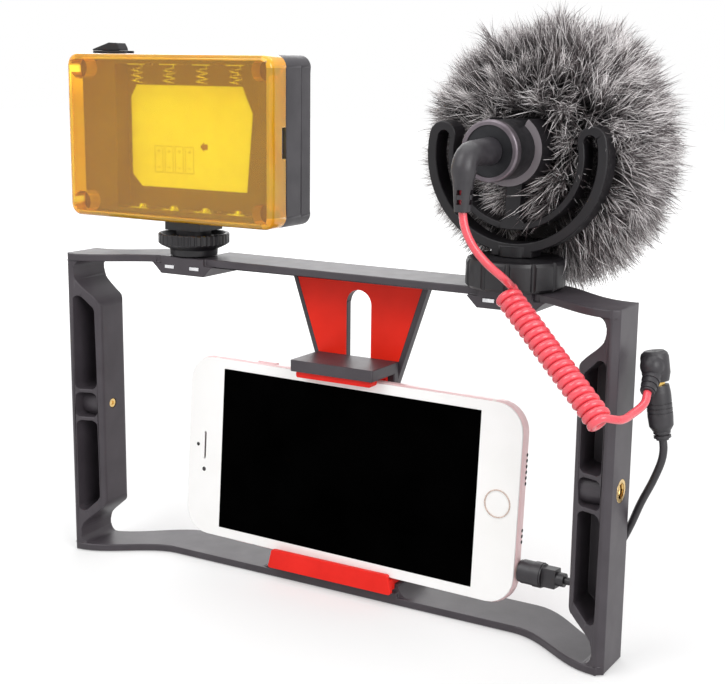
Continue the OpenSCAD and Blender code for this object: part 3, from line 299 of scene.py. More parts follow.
@dataclass(frozen=True)
class AmberPlastic(Finish):
    """Thin amber acrylic with a brown haze on its moulded surface."""

    clear: float = 0.96
    haze: str = "#f2683c"
    haze_roughness: float = 0.8

    def wire(self, tree: bpy.types.NodeTree, shader: bpy.types.Node) -> None:
        """Let light through, and scatter a little of it at the surface.

        Args:
            tree: the material's tree.
            shader: its main shader.
        """
        super().wire(tree, shader)
        shader.inputs["Transmission Weight"].default_value = self.clear
        shader.inputs["Sheen Roughness"].default_value = self.haze_roughness
        shader.inputs["Sheen Tint"].default_value = linear(self.haze)


@dataclass(frozen=True)
class ClipPlastic(Finish):
    """Black moulded plastic whose clip has a pale front face round the microphone."""

    rim: str = "#767074"
    centre: Point = (0.0735, 0.0, 0.1817)
    rim_mm: float = 13.4
    face_mm: float = -15.2

    def colour(self, tree: bpy.types.NodeTree, place: bpy.types.NodeSocket) -> bpy.types.NodeSocket:
        """Two dark tones, with the pale tone on the clip's front face.

        Args:
            tree: the material's tree.
            place: the coordinates to read.

        Returns:
            The colour's socket.
        """
        dark = super().colour(tree, place)
        off = add_node(tree, "ShaderNodeVectorMath", {0: place, 1: self.centre}, operation="SUBTRACT")
        flat = add_node(tree, "ShaderNodeVectorMath", {0: off.outputs[0], 1: (1.0, 0.0, 1.0)},
                        operation="MULTIPLY")
        away = add_node(tree, "ShaderNodeVectorMath", {0: flat.outputs[0]}, operation="LENGTH")
        near = add_node(tree, "ShaderNodeMath", {0: away.outputs["Value"], 1: self.rim_mm * MM},
                        operation="LESS_THAN")
        depth = add_node(tree, "ShaderNodeSeparateXYZ", {0: place}).outputs[1]
        front = add_node(tree, "ShaderNodeMath", {0: depth, 1: self.face_mm * MM}, operation="LESS_THAN")
        both = add_node(tree, "ShaderNodeMath", {0: near.outputs[0], 1: front.outputs[0]},
                        operation="MULTIPLY")
        return blend_colours(tree, both.outputs[0], dark, self.rim)


@dataclass(frozen=True)
class PileFinish(Finish):
    """Long synthetic pile: roots darkened partly in the pile's own colour and partly as painted shade deep
    in the pile, silvery tips, each strand with a tone of its own.
    """

    tip: str = "#f3eeee"
    root_shade_from: Pair = (0.15, 0.7)
    tip_from: Pair = (0.22, 0.72)
    silver_from: Pair = (0.3, 0.75)

    def colour(self, tree: bpy.types.NodeTree, place: bpy.types.NodeSocket) -> bpy.types.NodeSocket:
        """Colour along the strand, from root to tip.

        Args:
            tree: the material's tree.
            place: not read, since the tones come from the strands' attributes.

        Returns:
            The colour's socket.
        """
        along = add_node(tree, "ShaderNodeAttribute", attribute_name="along").outputs["Fac"]
        tint = add_node(tree, "ShaderNodeAttribute", attribute_name="tint").outputs["Fac"]
        # Darker towards the root: partly the pile's own colour, partly painted shade between the strands.
        body = blend_colours(tree, along, self.dark, self.light, *self.root_shade_from)
        tipped = blend_colours(tree, along, body, self.tip, *self.tip_from)
        return blend_colours(tree, tint, body, tipped, *self.silver_from)


class Finishes:
    """The finishes of the rig, each named for what the real one is."""

    # Charcoal ABS with a fine spark texture: broad soft highlights and no mirror shine.
    abs_frame = Finish("charcoal_abs_spark_textured", "#423d42", "#373237", 0.44, 0.02, specular=0.42,
                       mottle_mm=14, grain_mm=0.7, depth_mm=0.018)
    # Black ABS of knobs and clips, moulded smoother than the cage.
    abs_black = Finish("black_abs_moulded", "#1f1d20", "#161417", 0.38, 0.07, specular=0.4,
                       mottle_mm=8, grain_mm=0.5, depth_mm=0.01)
    # The shock mount's flexible plastic, duller than the knobs.
    lyre = ClipPlastic("black_flexible_plastic", "#1b191c", "#131114", 0.44, 0.06, specular=0.32,
                       mottle_mm=8, grain_mm=0.5, depth_mm=0.01)
    # Dark ABS of the lamp's housing: an even, quiet surface.
    abs_lamp = Finish("dark_abs_lamp_housing", "#3e3b40", "#343136", 0.42, 0.05,
                      mottle_mm=12, grain_mm=0.7, depth_mm=0.02)
    # The battery bay behind the amber, painted a warm brown-grey: painted haze for the light that the amber
    # scatters.
    bay_painted_haze = Finish("battery_bay_painted_amber_haze", "#503730", "#442e28", 0.5, 0.05,
                     mottle_mm=12, grain_mm=0.7, depth_mm=0.02)
    # Red silicone: saturated, satin, with a faint bloom.
    silicone = Finish("red_silicone_moulded", "#f0281e", "#e42016", 0.46, 0.07, ior=1.42, specular=0.3,
                      mottle_mm=10, grain_mm=0.8, depth_mm=0.012)
    # Red ABS sheet laid into the cage: flat colour with little gloss.
    red_sheet = Finish("red_abs_inlay", "#fa2d1a", "#f02713", 0.40, 0.05, specular=0.2,
                       mottle_mm=16, grain_mm=0.7, depth_mm=0.012)
    # Turned brass: a warm gleam.
    brass = Finish("brass_turned", "#f0d293", "#d8b36c", 0.28, 0.08, metallic=1.0,
                   mottle_mm=2.0, grain_mm=0.35, depth_mm=0.006)
    # Gold plating on the plugs: smooth and bright.
    gold = Finish("gold_plated_contact", "#f0cf86", "#dcb562", 0.2, 0.06, metallic=1.0,
                  mottle_mm=2.0, grain_mm=0.3, depth_mm=0.003)
    # Nickel plated spring steel: pale and bright.
    steel = Finish("nickel_plated_spring_steel", "#d8d8da", "#bdbdc0", 0.24, 0.08, metallic=1.0,
                   mottle_mm=2.5, grain_mm=0.4, depth_mm=0.004)
    # Black anodised aluminium: dark, with a metallic edge of light.
    black_metal = Finish("black_anodised_aluminium", "#2b2b2e", "#1f1f22", 0.36, 0.06, metallic=0.6,
                         mottle_mm=6, grain_mm=0.3, depth_mm=0.004)
    # Grey anodised aluminium: a satin ring that catches the light.
    grey_metal = Finish("grey_anodised_aluminium", "#736b71", "#5f575d", 0.36, 0.06, metallic=0.7,
                        mottle_mm=6, grain_mm=0.3, depth_mm=0.004)
    # Bead-blasted rose aluminium: pale pink, matt and fine grained.
    rose = BandedMetal("rose_bead_blasted_aluminium", "#f7d7d8", "#f5d2d3", 0.34, 0.03, metallic=0.1,
                       mottle_mm=8, grain_mm=0.35, depth_mm=0.004)
    # Glass painted white behind: clean white with a smooth gloss.
    white_glass = Finish("white_back_painted_glass", "#fbfaf9", "#f5f4f2", 0.07, 0.03,
                         mottle_mm=30, grain_mm=6, depth_mm=0.0005)
    # A display that is off, under glass with a dark anti-glare layer: deep black, hardly a reflection.
    black_glass = Finish("black_display_glass", "#030303", "#010101", 0.09, 0.04, specular=0.0,
                         mottle_mm=26, grain_mm=7, depth_mm=0.0005)
    # Smoked glass over the front camera: a small dark shine.
    lens = Finish("smoked_lens_glass", "#3a3638", "#2b282a", 0.12, 0.03, mottle_mm=3, grain_mm=2,
                  depth_mm=0.0005)
    # Turned metal round the home button: a thin line on the white glass.
    ring = Finish("grey_gold_turned_ring", "#d3bfb4", "#c0aa9f", 0.3, 0.06, metallic=0.4,
                  mottle_mm=2.0, grain_mm=0.3, depth_mm=0.003)
    # Shrink wrap of the phone's battery: black and a little shiny.
    cell_wrap = Finish("black_cell_wrap", "#2b2c30", "#1f2023", 0.38, 0.08, mottle_mm=7)
    # Solder mask on the circuit boards: green, lacquered.
    board = Finish("green_solder_mask", "#1f5a36", "#174529", 0.34, 0.08, mottle_mm=4,
                   grain_mm=1.2, depth_mm=0.03)
    # Pale plastic of the phone's jack: plain and satin.
    pale = Finish("pale_moulded_plastic", "#e9e6e2", "#dedad5", 0.4, 0.06, mottle_mm=6)
    # Paper card in the battery bay: matt white with a faint tooth.
    card = Finish("white_paper_card", "#fdfcf6", "#f7f5ec", 0.7, 0.08, mottle_mm=5,
                  grain_mm=0.5, depth_mm=0.02)
    # Pale print for the outlines, and a strong one for the arrow.
    ink = Finish("pale_printing_ink", "#dcd5c0", "#d2cab4", 0.7, 0.05, mottle_mm=3)
    strong_ink = Finish("brown_printing_ink", "#8a4a1c", "#7c4016", 0.7, 0.05, mottle_mm=3)
    # White solder mask on the LED board: bright, so that light comes back.
    led_white = Finish("white_solder_mask", "#efeee9", "#e6e4dd", 0.4, 0.06, mottle_mm=6)
    # Phosphor on the LEDs: yellow dots.
    phosphor = Finish("yellow_led_phosphor", "#f2dd63", "#e6c94a", 0.35, 0.05, mottle_mm=1.5)
    # Frosted acrylic in front of the LEDs: milky, half clear.
    frosted = Finish("frosted_acrylic", "#f2f4f6", "#e9ecef", 0.42, 0.06, mottle_mm=9,
                     grain_mm=0.9, depth_mm=0.03, alpha=0.5)
    # Moulded amber acrylic: yellow where the eye looks through the front.
    amber = AmberPlastic("amber_acrylic_moulded", "#fffa4c", "#fff644", 0.2, 0.03, ior=1.08,
                         mottle_mm=40, grain_mm=20, depth_mm=0.0, coat=1.0, coat_roughness=0.08,
                         sheen=0.36)
    # The same acrylic along its walls, painted deeper orange and less clear: a painted glow for the light
    # that a longer way through it gathers.
    amber_wall_painted_glow = AmberPlastic("amber_acrylic_edges_painted_glow", "#ffd03c", "#ffbe2a", 0.14, 0.04, ior=1.15,
                              mottle_mm=12, grain_mm=6, depth_mm=0.0, coat=1.0, coat_roughness=0.05,
                              clear=0.62)
    # The corner posts: a painted glow, deeper orange and less clear than the walls.
    amber_post_painted_glow = AmberPlastic("amber_acrylic_posts_painted_glow", "#ffc22e", "#ffb01c", 0.16, 0.04, ior=1.15,
                              mottle_mm=8, grain_mm=6, depth_mm=0.0, coat=1.0, coat_roughness=0.05,
                              clear=0.3)
    # Soft black PVC of plugs and cable: dull, with a broad highlight.
    rubber = Finish("black_pvc_moulded", "#302d31", "#242226", 0.42, 0.07, mottle_mm=5,
                    grain_mm=0.5, depth_mm=0.012)
    # Glossy coral PVC: pink highlights, red in the grooves.
    red_cord = Finish("coral_pvc_cord", "#f04c5a", "#e63f4d", 0.3, 0.05, ior=1.5, mottle_mm=6,
                      grain_mm=0.6, depth_mm=0.008, coat=0.7, coat_roughness=0.22, sheen=0.12)
    # Dark cloth behind small openings: no shine at all. On the speaker holes, which are drawn as dark discs,
    # it is partly that cloth and partly painted shade inside the holes.
    dark_cloth_and_hole_shade = Finish("deep_shadow_cloth", "#121213", "#0a0a0b", 0.8, 0.05, mottle_mm=1.2)
    # Open foam under the pile: nearly black, rough.
    foam = Finish("charcoal_foam_backing", "#2e2b2a", "#191716", 0.95, 0.04, mottle_mm=2.4,
                  grain_mm=1.1, depth_mm=0.3)
    # Long acrylic pile: dark at the roots, partly its own colour and partly painted shade deep in the pile;
    # silver at some of the tips.
    pile = PileFinish("grey_long_pile", "#5b5253", "#0a0809", 0.42, 0.1, sheen=0.1,
                      mottle_mm=4, grain_mm=0.4, depth_mm=0.0)


def link(obj: bpy.types.Object) -> bpy.types.Object:
    """Put an object in the scene."""
    bpy.context.scene.collection.objects.link(obj)
    return obj


def shade(mesh: bpy.types.Mesh, sharp_deg: float = 32.0) -> None:
    """Smooth shading with edges kept sharp above an angle."""
    mesh.shade_smooth()
    mesh.set_sharp_from_angle(angle=math.radians(sharp_deg))


def mesh_object(name: str, verts: Sequence[Sequence[float]], faces: Sequence[Sequence[int]],
                sharp_deg: float = 40.0) -> bpy.types.Object:
    """Make an object from points in metres and faces.

    Args:
        name: the piece's name.
        verts: its points.
        faces: its faces, turned outwards here.
        sharp_deg: edges sharper than this stay sharp.

    Returns:
        The object, in the scene.
    """
    mesh = bpy.data.meshes.new(name)
    mesh.from_pydata([tuple(v) for v in verts], [], [tuple(f) for f in faces])
    bm = bmesh.new()
    bm.from_mesh(mesh)
    bmesh.ops.recalc_face_normals(bm, faces=bm.faces)
    bm.to_mesh(mesh)
    bm.free()
    shade(mesh, sharp_deg)
    return link(bpy.data.objects.new(name, mesh))


def baked(obj: bpy.types.Object, name: str) -> bpy.types.Object:
    """Turn an object with live modifiers into a plain mesh piece.

    Args:
        obj: the object to evaluate; it is removed.
        name: the plain piece's name.

    Returns:
        The plain piece.
    """
    bpy.context.view_layer.update()
    graph = bpy.context.evaluated_depsgraph_get()
    mesh = bpy.data.meshes.new_from_object(obj.evaluated_get(graph), depsgraph=graph)
    old = obj.data
    bpy.data.objects.remove(obj)
    if old.users == 0:
        bpy.data.meshes.remove(old)
    mesh.name = name
    return link(bpy.data.objects.new(name, mesh))


def dress(obj: bpy.types.Object, finish: Finish) -> bpy.types.Object:
    """Give an object one finish all over.

    Args:
        obj: the object.
        finish: the finish, which takes the place of any other.

    Returns:
        The same object.
    """
    obj.data.materials.clear()
    obj.data.materials.append(finish.material())
    return obj


def paint(obj: bpy.types.Object, more: Sequence[Finish],
          pick: Callable[[bpy.types.MeshPolygon], int]) -> None:
    """Add finishes to a dressed object and choose one for each face.

    Args:
        obj: the object, with its first finish on it.
        more: the finishes that follow.
        pick: gives the number of a face's finish, 0 for the first.
    """
    for finish in more:
        obj.data.materials.append(finish.material())
    for face in obj.data.polygons:
        face.material_index = pick(face)


def lathe(profile: Sequence[Pair], sides: int,
          place: Callable[[float, float, float], Point]) -> tuple[list[Point], list[list[int]]]:
    """Turn a profile of (radius, height) round an axis.

    Args:
        profile: radius and height in millimetres; a radius of 0 closes on the axis.
        sides: points round the axis.
        place: maps across, across and along, in millimetres, to a point in metres.

    Returns:
        Points and faces.
    """
    verts: list[Point] = []
    rings: list[list[int]] = []
    for r, h in profile:
        count = 1 if r == 0 else sides
        rings.append(list(range(len(verts), len(verts) + count)))
        for k in range(count):
            a = 2 * math.pi * k / sides
            verts.append(place(r * math.cos(a), r * math.sin(a), h))
    faces: list[list[int]] = []
    for low, high in zip(rings, rings[1:]):
        for k in range(sides):
            a, b = low[k % len(low)], low[(k + 1) % len(low)]
            c, d = high[(k + 1) % len(high)], high[k % len(high)]
            faces.append(list(dict.fromkeys((a, b, c, d))))
    return verts, [f for f in faces if len(f) > 2]


def smooth_route(points: Sequence[Sequence[float]], step: float) -> np.ndarray:
    """Lay a smooth curve through points.

    Args:
        points: the points it passes, in metres.
        step: the spacing of the curve's own points.

    Returns:
        The curve's points.
    """
    p = np.array(points, float)
    p = np.vstack([2 * p[0] - p[1], p, 2 * p[-1] - p[-2]])
    out = []
    for i in range(1, len(p) - 2):
        knots = np.cumsum([0.0] + [math.sqrt(np.linalg.norm(p[i + k] - p[i + k - 1])) for k in range(3)])
        count = max(2, round(np.linalg.norm(p[i + 1] - p[i]) / step))
        for t in np.linspace(knots[1], knots[2], count, endpoint=False):
            a = [((knots[k + 1] - t) * p[i - 1 + k] + (t - knots[k]) * p[i + k]) / (knots[k + 1] - knots[k])
                 for k in range(3)]
            b = [((knots[k + 2] - t) * a[k] + (t - knots[k]) * a[k + 1]) / (knots[k + 2] - knots[k])
                 for k in range(2)]
            out.append(((knots[2] - t) * b[0] + (t - knots[1]) * b[1]) / (knots[2] - knots[1]))
    out.append(p[-2])
    return np.array(out)


def tube(name: str, route: np.ndarray, radius: float, sides: int) -> bpy.types.Object:
    """Sweep a round section along a route, with both ends closed.

    Args:
        name: the piece's name.
        route: the centre line, in metres.
        radius: the tube's radius, in metres.
        sides: points round the tube.

    Returns:
        The tube as a mesh piece.
    """
    ahead = unit_rows(np.gradient(route, axis=0))
    # Any direction will do that no route starts along.
    aside = (0.3, 0.5, 0.8)
    side = np.cross(ahead[0], aside)
    verts: list[np.ndarray] = []
    for point, way in zip(route, ahead):
        side = unit(side - way * (side @ way))
        up = np.cross(way, side)
        for k in range(sides):
            a = 2 * math.pi * k / sides
            verts.append(point + radius * (math.cos(a) * side + math.sin(a) * up))
    faces = [[i * sides + k, i * sides + (k + 1) % sides, (i + 1) * sides + (k + 1) % sides,
              (i + 1) * sides + k] for i in range(len(route) - 1) for k in range(sides)]
    faces.append(list(range(sides)))
    faces.append(list(range((len(route) - 1) * sides, len(route) * sides)))
    return mesh_object(name, verts, faces, sharp_deg=60)


class Scatter:
    """Geometry Nodes that set shapes on points, each leaning, turned and sized by attributes."""

    _tree: bpy.types.NodeTree | None = None
    _keys: dict[str, str] = {}

    @classmethod
    def tree(cls) -> bpy.types.NodeTree:
        """The node tree, built once, with named inputs for the shapes and their finish.

        Returns:
            The tree, the same one at every call.
        """
        if cls._tree:
            return cls._tree
        tree = bpy.data.node_groups.new("set_shapes_on_points", "GeometryNodeTree")
        face = tree.interface
        face.new_socket("Geometry", in_out="INPUT", socket_type="NodeSocketGeometry")
        for name, kind in (("Shapes", "NodeSocketCollection"), ("Finish", "NodeSocketMaterial"),
                           ("Size factor", "NodeSocketFloat")):
            cls._keys[name] = face.new_socket(name, in_out="INPUT", socket_type=kind).identifier
        face.new_socket("Geometry", in_out="OUTPUT", socket_type="NodeSocketGeometry")
        given = add_node(tree, "NodeGroupInput").outputs
        read = {name: add_node(tree, "GeometryNodeInputNamedAttribute", {"Name": name},
                               data_type=kind).outputs[0]
                for name, kind in (("lean", "FLOAT_VECTOR"), ("bend", "FLOAT_VECTOR"),
                                   ("size", "FLOAT"), ("tint", "FLOAT"), ("kind", "INT"))}
        points = add_node(tree, "GeometryNodeMeshToPoints", {"Mesh": given["Geometry"]})
        shapes = add_node(tree, "GeometryNodeCollectionInfo", {
            "Collection": given["Shapes"], "Separate Children": True, "Reset Children": True})
        upright = add_node(tree, "FunctionNodeAlignRotationToVector", {"Vector": read["lean"]}, axis="Z")
        turned = add_node(tree, "FunctionNodeAlignRotationToVector", {
            "Rotation": upright.outputs[0], "Vector": read["bend"]}, axis="X", pivot_axis="Z")
        scale = add_node(tree, "ShaderNodeMath", {0: read["size"], 1: given["Size factor"]},
                         operation="MULTIPLY")
        placed = add_node(tree, "GeometryNodeInstanceOnPoints", {
            "Points": points.outputs[0], "Instance": shapes.outputs[0], "Pick Instance": True,
            "Instance Index": read["kind"], "Rotation": turned.outputs[0], "Scale": scale.outputs[0]})
        toned = add_node(tree, "GeometryNodeStoreNamedAttribute", {
            "Geometry": placed.outputs[0], "Name": "tint", "Value": read["tint"]},
            data_type="FLOAT", domain="INSTANCE")
        real = add_node(tree, "GeometryNodeRealizeInstances", {"Geometry": toned.outputs[0]})
        done = add_node(tree, "GeometryNodeSetMaterial", {
            "Geometry": real.outputs[0], "Material": given["Finish"]})
        add_node(tree, "NodeGroupOutput", {0: done.outputs[0]})
        cls._tree = tree
        return tree

    @classmethod
    def piece(cls, name: str, shapes: Sequence[bpy.types.Object], finish: Finish, at: np.ndarray,
              lean: np.ndarray, bend: np.ndarray, size: np.ndarray, tint: np.ndarray | None = None,
              kind: np.ndarray | None = None) -> bpy.types.Object:
        """Set shapes on points and make the result one plain mesh.

        Args:
            name: the piece's name.
            shapes: the shapes to choose from, each about its own origin; they are used up.
            finish: the finish of them all.
            at: the points, in metres.
            lean: where each shape's own Z points.
            bend: where each shape's own X points, as near as it can.
            size: the scale of each shape.
            tint: a tone from 0 to 1 for each.
            kind: the number of the shape on each point.

        Returns:
            The plain mesh piece.
        """
        count = len(at)
        mesh = bpy.data.meshes.new(name + "_points")
        mesh.from_pydata([tuple(p) for p in at], [], [])
        columns = {"lean": ("FLOAT_VECTOR", "vector", lean), "bend": ("FLOAT_VECTOR", "vector", bend),
                   "size": ("FLOAT", "value", size),
                   "tint": ("FLOAT", "value", np.zeros(count) if tint is None else tint),
                   "kind": ("INT", "value", np.zeros(count, int) if kind is None else kind)}
        for key, (form, slot, values) in columns.items():
            data = np.broadcast_to(values, (count, 3) if slot == "vector" else (count,))
            flat = np.ascontiguousarray(data, np.int32 if form == "INT" else np.float32).ravel()
            mesh.attributes.new(key, form, "POINT").data.foreach_set(slot, flat)
        held = bpy.data.collections.new(name + "_shapes")
        for shape in shapes:
            for home in list(shape.users_collection):
                home.objects.unlink(shape)
            held.objects.link(shape)
        carrier = link(bpy.data.objects.new(name + "_carrier", mesh))
        change = carrier.modifiers.new("scatter", "NODES")
        change.node_group = cls.tree()
        change[cls._keys["Shapes"]] = held
        change[cls._keys["Finish"]] = finish.material()
        change[cls._keys["Size factor"]] = 1.0
        piece = baked(carrier, name)
        for shape in shapes:
            bpy.data.objects.remove(shape)
        bpy.data.collections.remove(held)
        return dress(piece, finish)


@dataclass
class Kit:
    """What every sub-assembly needs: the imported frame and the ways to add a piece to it."""

    frame: dict[str, Any]
    bodies: dict[str, str] = field(init=False)
    slots: dict[str, str] = field(init=False)
    corner_deg: float = 38.0
    merge: float = 2e-6
    least_edge: float = 3.0

    def __post_init__(self) -> None:
        """Note the body and the material slot of each node."""
        groups = self.frame["record"]["behaviour"]["bodies"]
        self.bodies = {node: body for body, nodes in groups.items() for node in nodes}
        self.slots = {p["node"]: p["material_slot"] for p in self.frame["record"]["subparts"]}

    def coat(self, finish: Finish, *nodes: str) -> None:
        """Give CAD nodes a finish, with their own mesh."""
        for node in nodes:
            dress(self.frame["nodes"][node], finish)

    def add(self, obj: bpy.types.Object, body: str, slot_of: str, replaces: Sequence[str] = ()) -> None:
        """Let a piece ride on a body, and hide the nodes that it stands for.

        Args:
            obj: the finished piece.
            body: the body it rides on.
            slot_of: not used.
            replaces: the nodes that it stands for.
        """
        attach(obj, body)
        if replaces:
            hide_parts(*replaces)
        LOG.info("%s rides on %s, %d faces", obj.name, body, len(obj.data.polygons))

    def soften(self, finish: Finish, width_mm: float, *nodes: str,
               segments: int = 2) -> list[bpy.types.Object]:
        """Replace CAD nodes by copies whose edges are rounded.

        Args:
            finish: their finish.
            width_mm: how far a rounded edge reaches.
            nodes: the nodes.
            segments: faces across a rounded edge.

        Returns:
            The copies, in the nodes' order.
        """
        sharp = math.radians(self.corner_deg)
        made: list[bpy.types.Object] = []
        for node in nodes:
            mesh = self.frame["nodes"][node].data.copy()
            if mesh.has_custom_normals:
                mesh.attributes.remove(mesh.attributes["custom_normal"])
            bm = bmesh.new()
            bm.from_mesh(mesh)
            bmesh.ops.remove_doubles(bm, verts=bm.verts, dist=self.merge)
            share = bm.edges.layers.float.new("bevel_weight_edge")
            for edge in bm.edges:
                long = edge.calc_length() > self.least_edge * width_mm * MM
                edge[share] = float(long and edge.is_manifold and edge.calc_face_angle() > sharp)
            bm.to_mesh(mesh)
            bm.free()
            shade(mesh)
            obj = link(bpy.data.objects.new(node + "_soft", mesh))
            change = obj.modifiers.new("round", "BEVEL")
            change.width = width_mm * MM
            change.segments = segments
            change.limit_method = "WEIGHT"
            change.use_clamp_overlap = False
            even = obj.modifiers.new("even", "WEIGHTED_NORMAL")
            even.keep_sharp = True
            piece = baked(obj, node + "_soft")
            dress(piece, finish)
            self.add(piece, self.bodies[node], node, [node])
            made.append(piece)
        return made


@dataclass
class Studio:
    """Camera at the photograph's viewpoint, a pale floor and soft light."""

    azimuth: float = 30.528
    elevation: float = 11.554
    roll: float = 0.657
    focal_px: float = 1367.87
    eye: Point = (0.27716, -0.45976, 0.21114)
    sensor_mm: float = 36.0
    clip_m: Pair = (0.01, 20.0)
    floor_reach: float = 4.0
    floor_low: float = -0.0004
    paper: str = "#cbcbcb"
    near_m: float = 0.25
    far_m: float = 1.0
    glow_near: float = 0.325
    glow_far: float = 0.75
    air: float = 0.55
    aim: Point = (0.0, 0.0, 0.11)
    # Name, place, size and power of each lamp.
    lamps: tuple[tuple[str, Point, float, float], ...] = (
        ("key", (-0.35, -0.75, 0.95), 0.8, 6.4), ("fill", (0.95, -0.45, 0.55), 0.7, 7.2),
        ("top", (0.0, 0.25, 1.1), 1.0, 5.0), ("rim", (-0.6, 0.8, 0.5), 0.7, 2.5))

    def camera(self) -> None:
        """Make the camera and hand it to the scene."""
        a, e, t = (math.radians(v) for v in (self.azimuth, self.elevation, self.roll))
        back = Vector((math.sin(a) * math.cos(e), -math.cos(a) * math.cos(e), math.sin(e)))
        level = Vector((math.cos(a), math.sin(a), 0.0))
        rise = back.cross(level)
        right = math.cos(t) * level + math.sin(t) * rise
        up = -math.sin(t) * level + math.cos(t) * rise
        data = bpy.data.cameras.new("camera")
        data.sensor_width = self.sensor_mm
        data.lens = self.focal_px * data.sensor_width / IMAGE_W
        data.clip_start, data.clip_end = self.clip_m
        obj = link(bpy.data.objects.new("camera", data))
        turn = Matrix((right, up, back)).transposed().to_4x4()
        obj.matrix_world = Matrix.Translation(self.eye) @ turn
        bpy.context.scene.camera = obj

    def floor(self) -> None:
        """A pale floor, lifted towards white where the camera and mirrors see it, more so far away."""
        reach, low = self.floor_reach, self.floor_low
        corners = [(-reach, -reach, low), (reach, -reach, low), (reach, reach, low), (-reach, reach, low)]
        obj = mesh_object("floor", corners, [(0, 1, 2, 3)])
        made = bpy.data.materials.new("pale_studio_paper")
        tree = fresh_tree(made)
        paper = add_node(tree, "ShaderNodeBsdfDiffuse", {"Color": linear(self.paper)})
        where = add_node(tree, "ShaderNodeTexCoord").outputs["Object"]
        away = add_node(tree, "ShaderNodeVectorMath", {0: where}, operation="LENGTH")
        # The far paper is lit on its own, so that it is as white as the paper near the rig.
        lit = add_node(tree, "ShaderNodeMapRange", {
            "Value": away.outputs["Value"], "From Min": self.near_m, "From Max": self.far_m,
            "To Min": self.glow_near, "To Max": self.glow_far}, interpolation_type="SMOOTHSTEP")
        glow = add_node(tree, "ShaderNodeEmission", {"Color": (1, 1, 1, 1), "Strength": lit.outputs[0]})
        none = add_node(tree, "ShaderNodeEmission", {"Strength": 0.0})
        lift = add_node(tree, "ShaderNodeMixShader", {
            0: self.seen(tree), 1: none.outputs[0], 2: glow.outputs[0]})
        both = add_node(tree, "ShaderNodeAddShader", {0: paper.outputs[0], 1: lift.outputs[0]})
        add_node(tree, "ShaderNodeOutputMaterial", {0: both.outputs[0]})
        obj.data.materials.append(made)

    @staticmethod
    def seen(tree: bpy.types.NodeTree) -> bpy.types.NodeSocket:
        """1 for what the camera sees, straight, in a gloss or through something clear.

        Args:
            tree: the tree of the floor's material or of the world.

        Returns:
            The value's socket.
        """
        path = add_node(tree, "ShaderNodeLightPath").outputs
        gloss = add_node(tree, "ShaderNodeMath", {
            0: path["Is Camera Ray"], 1: path["Is Glossy Ray"]}, operation="MAXIMUM")
        return add_node(tree, "ShaderNodeMath", {
            0: gloss.outputs[0], 1: path["Is Transmission Ray"]}, operation="MAXIMUM").outputs[0]

    def light(self) -> None:
        """World and lamps at a plain level."""
        scene = bpy.context.scene
        scene.view_settings.view_transform = "Standard"
        world = bpy.data.worlds.new("studio")
        scene.world = world
        tree = fresh_tree(world)
        air = add_node(tree, "ShaderNodeBackground", {"Color": (1, 1, 1, 1), "Strength": self.air})
        white = add_node(tree, "ShaderNodeBackground", {"Color": (1, 1, 1, 1), "Strength": 1.0})
        mix = add_node(tree, "ShaderNodeMixShader", {
            0: self.seen(tree), 1: air.outputs[0], 2: white.outputs[0]})
        add_node(tree, "ShaderNodeOutputWorld", {0: mix.outputs[0]})
        for name, eye, size, power in self.lamps:
            data = bpy.data.lights.new(name, "AREA")
            data.size, data.energy = size, power
            lamp = link(bpy.data.objects.new(name, data))
            lamp.location = eye
            lamp.rotation_mode = "QUATERNION"
            lamp.rotation_quaternion = (Vector(self.aim) - Vector(eye)).to_track_quat("-Z", "Y")


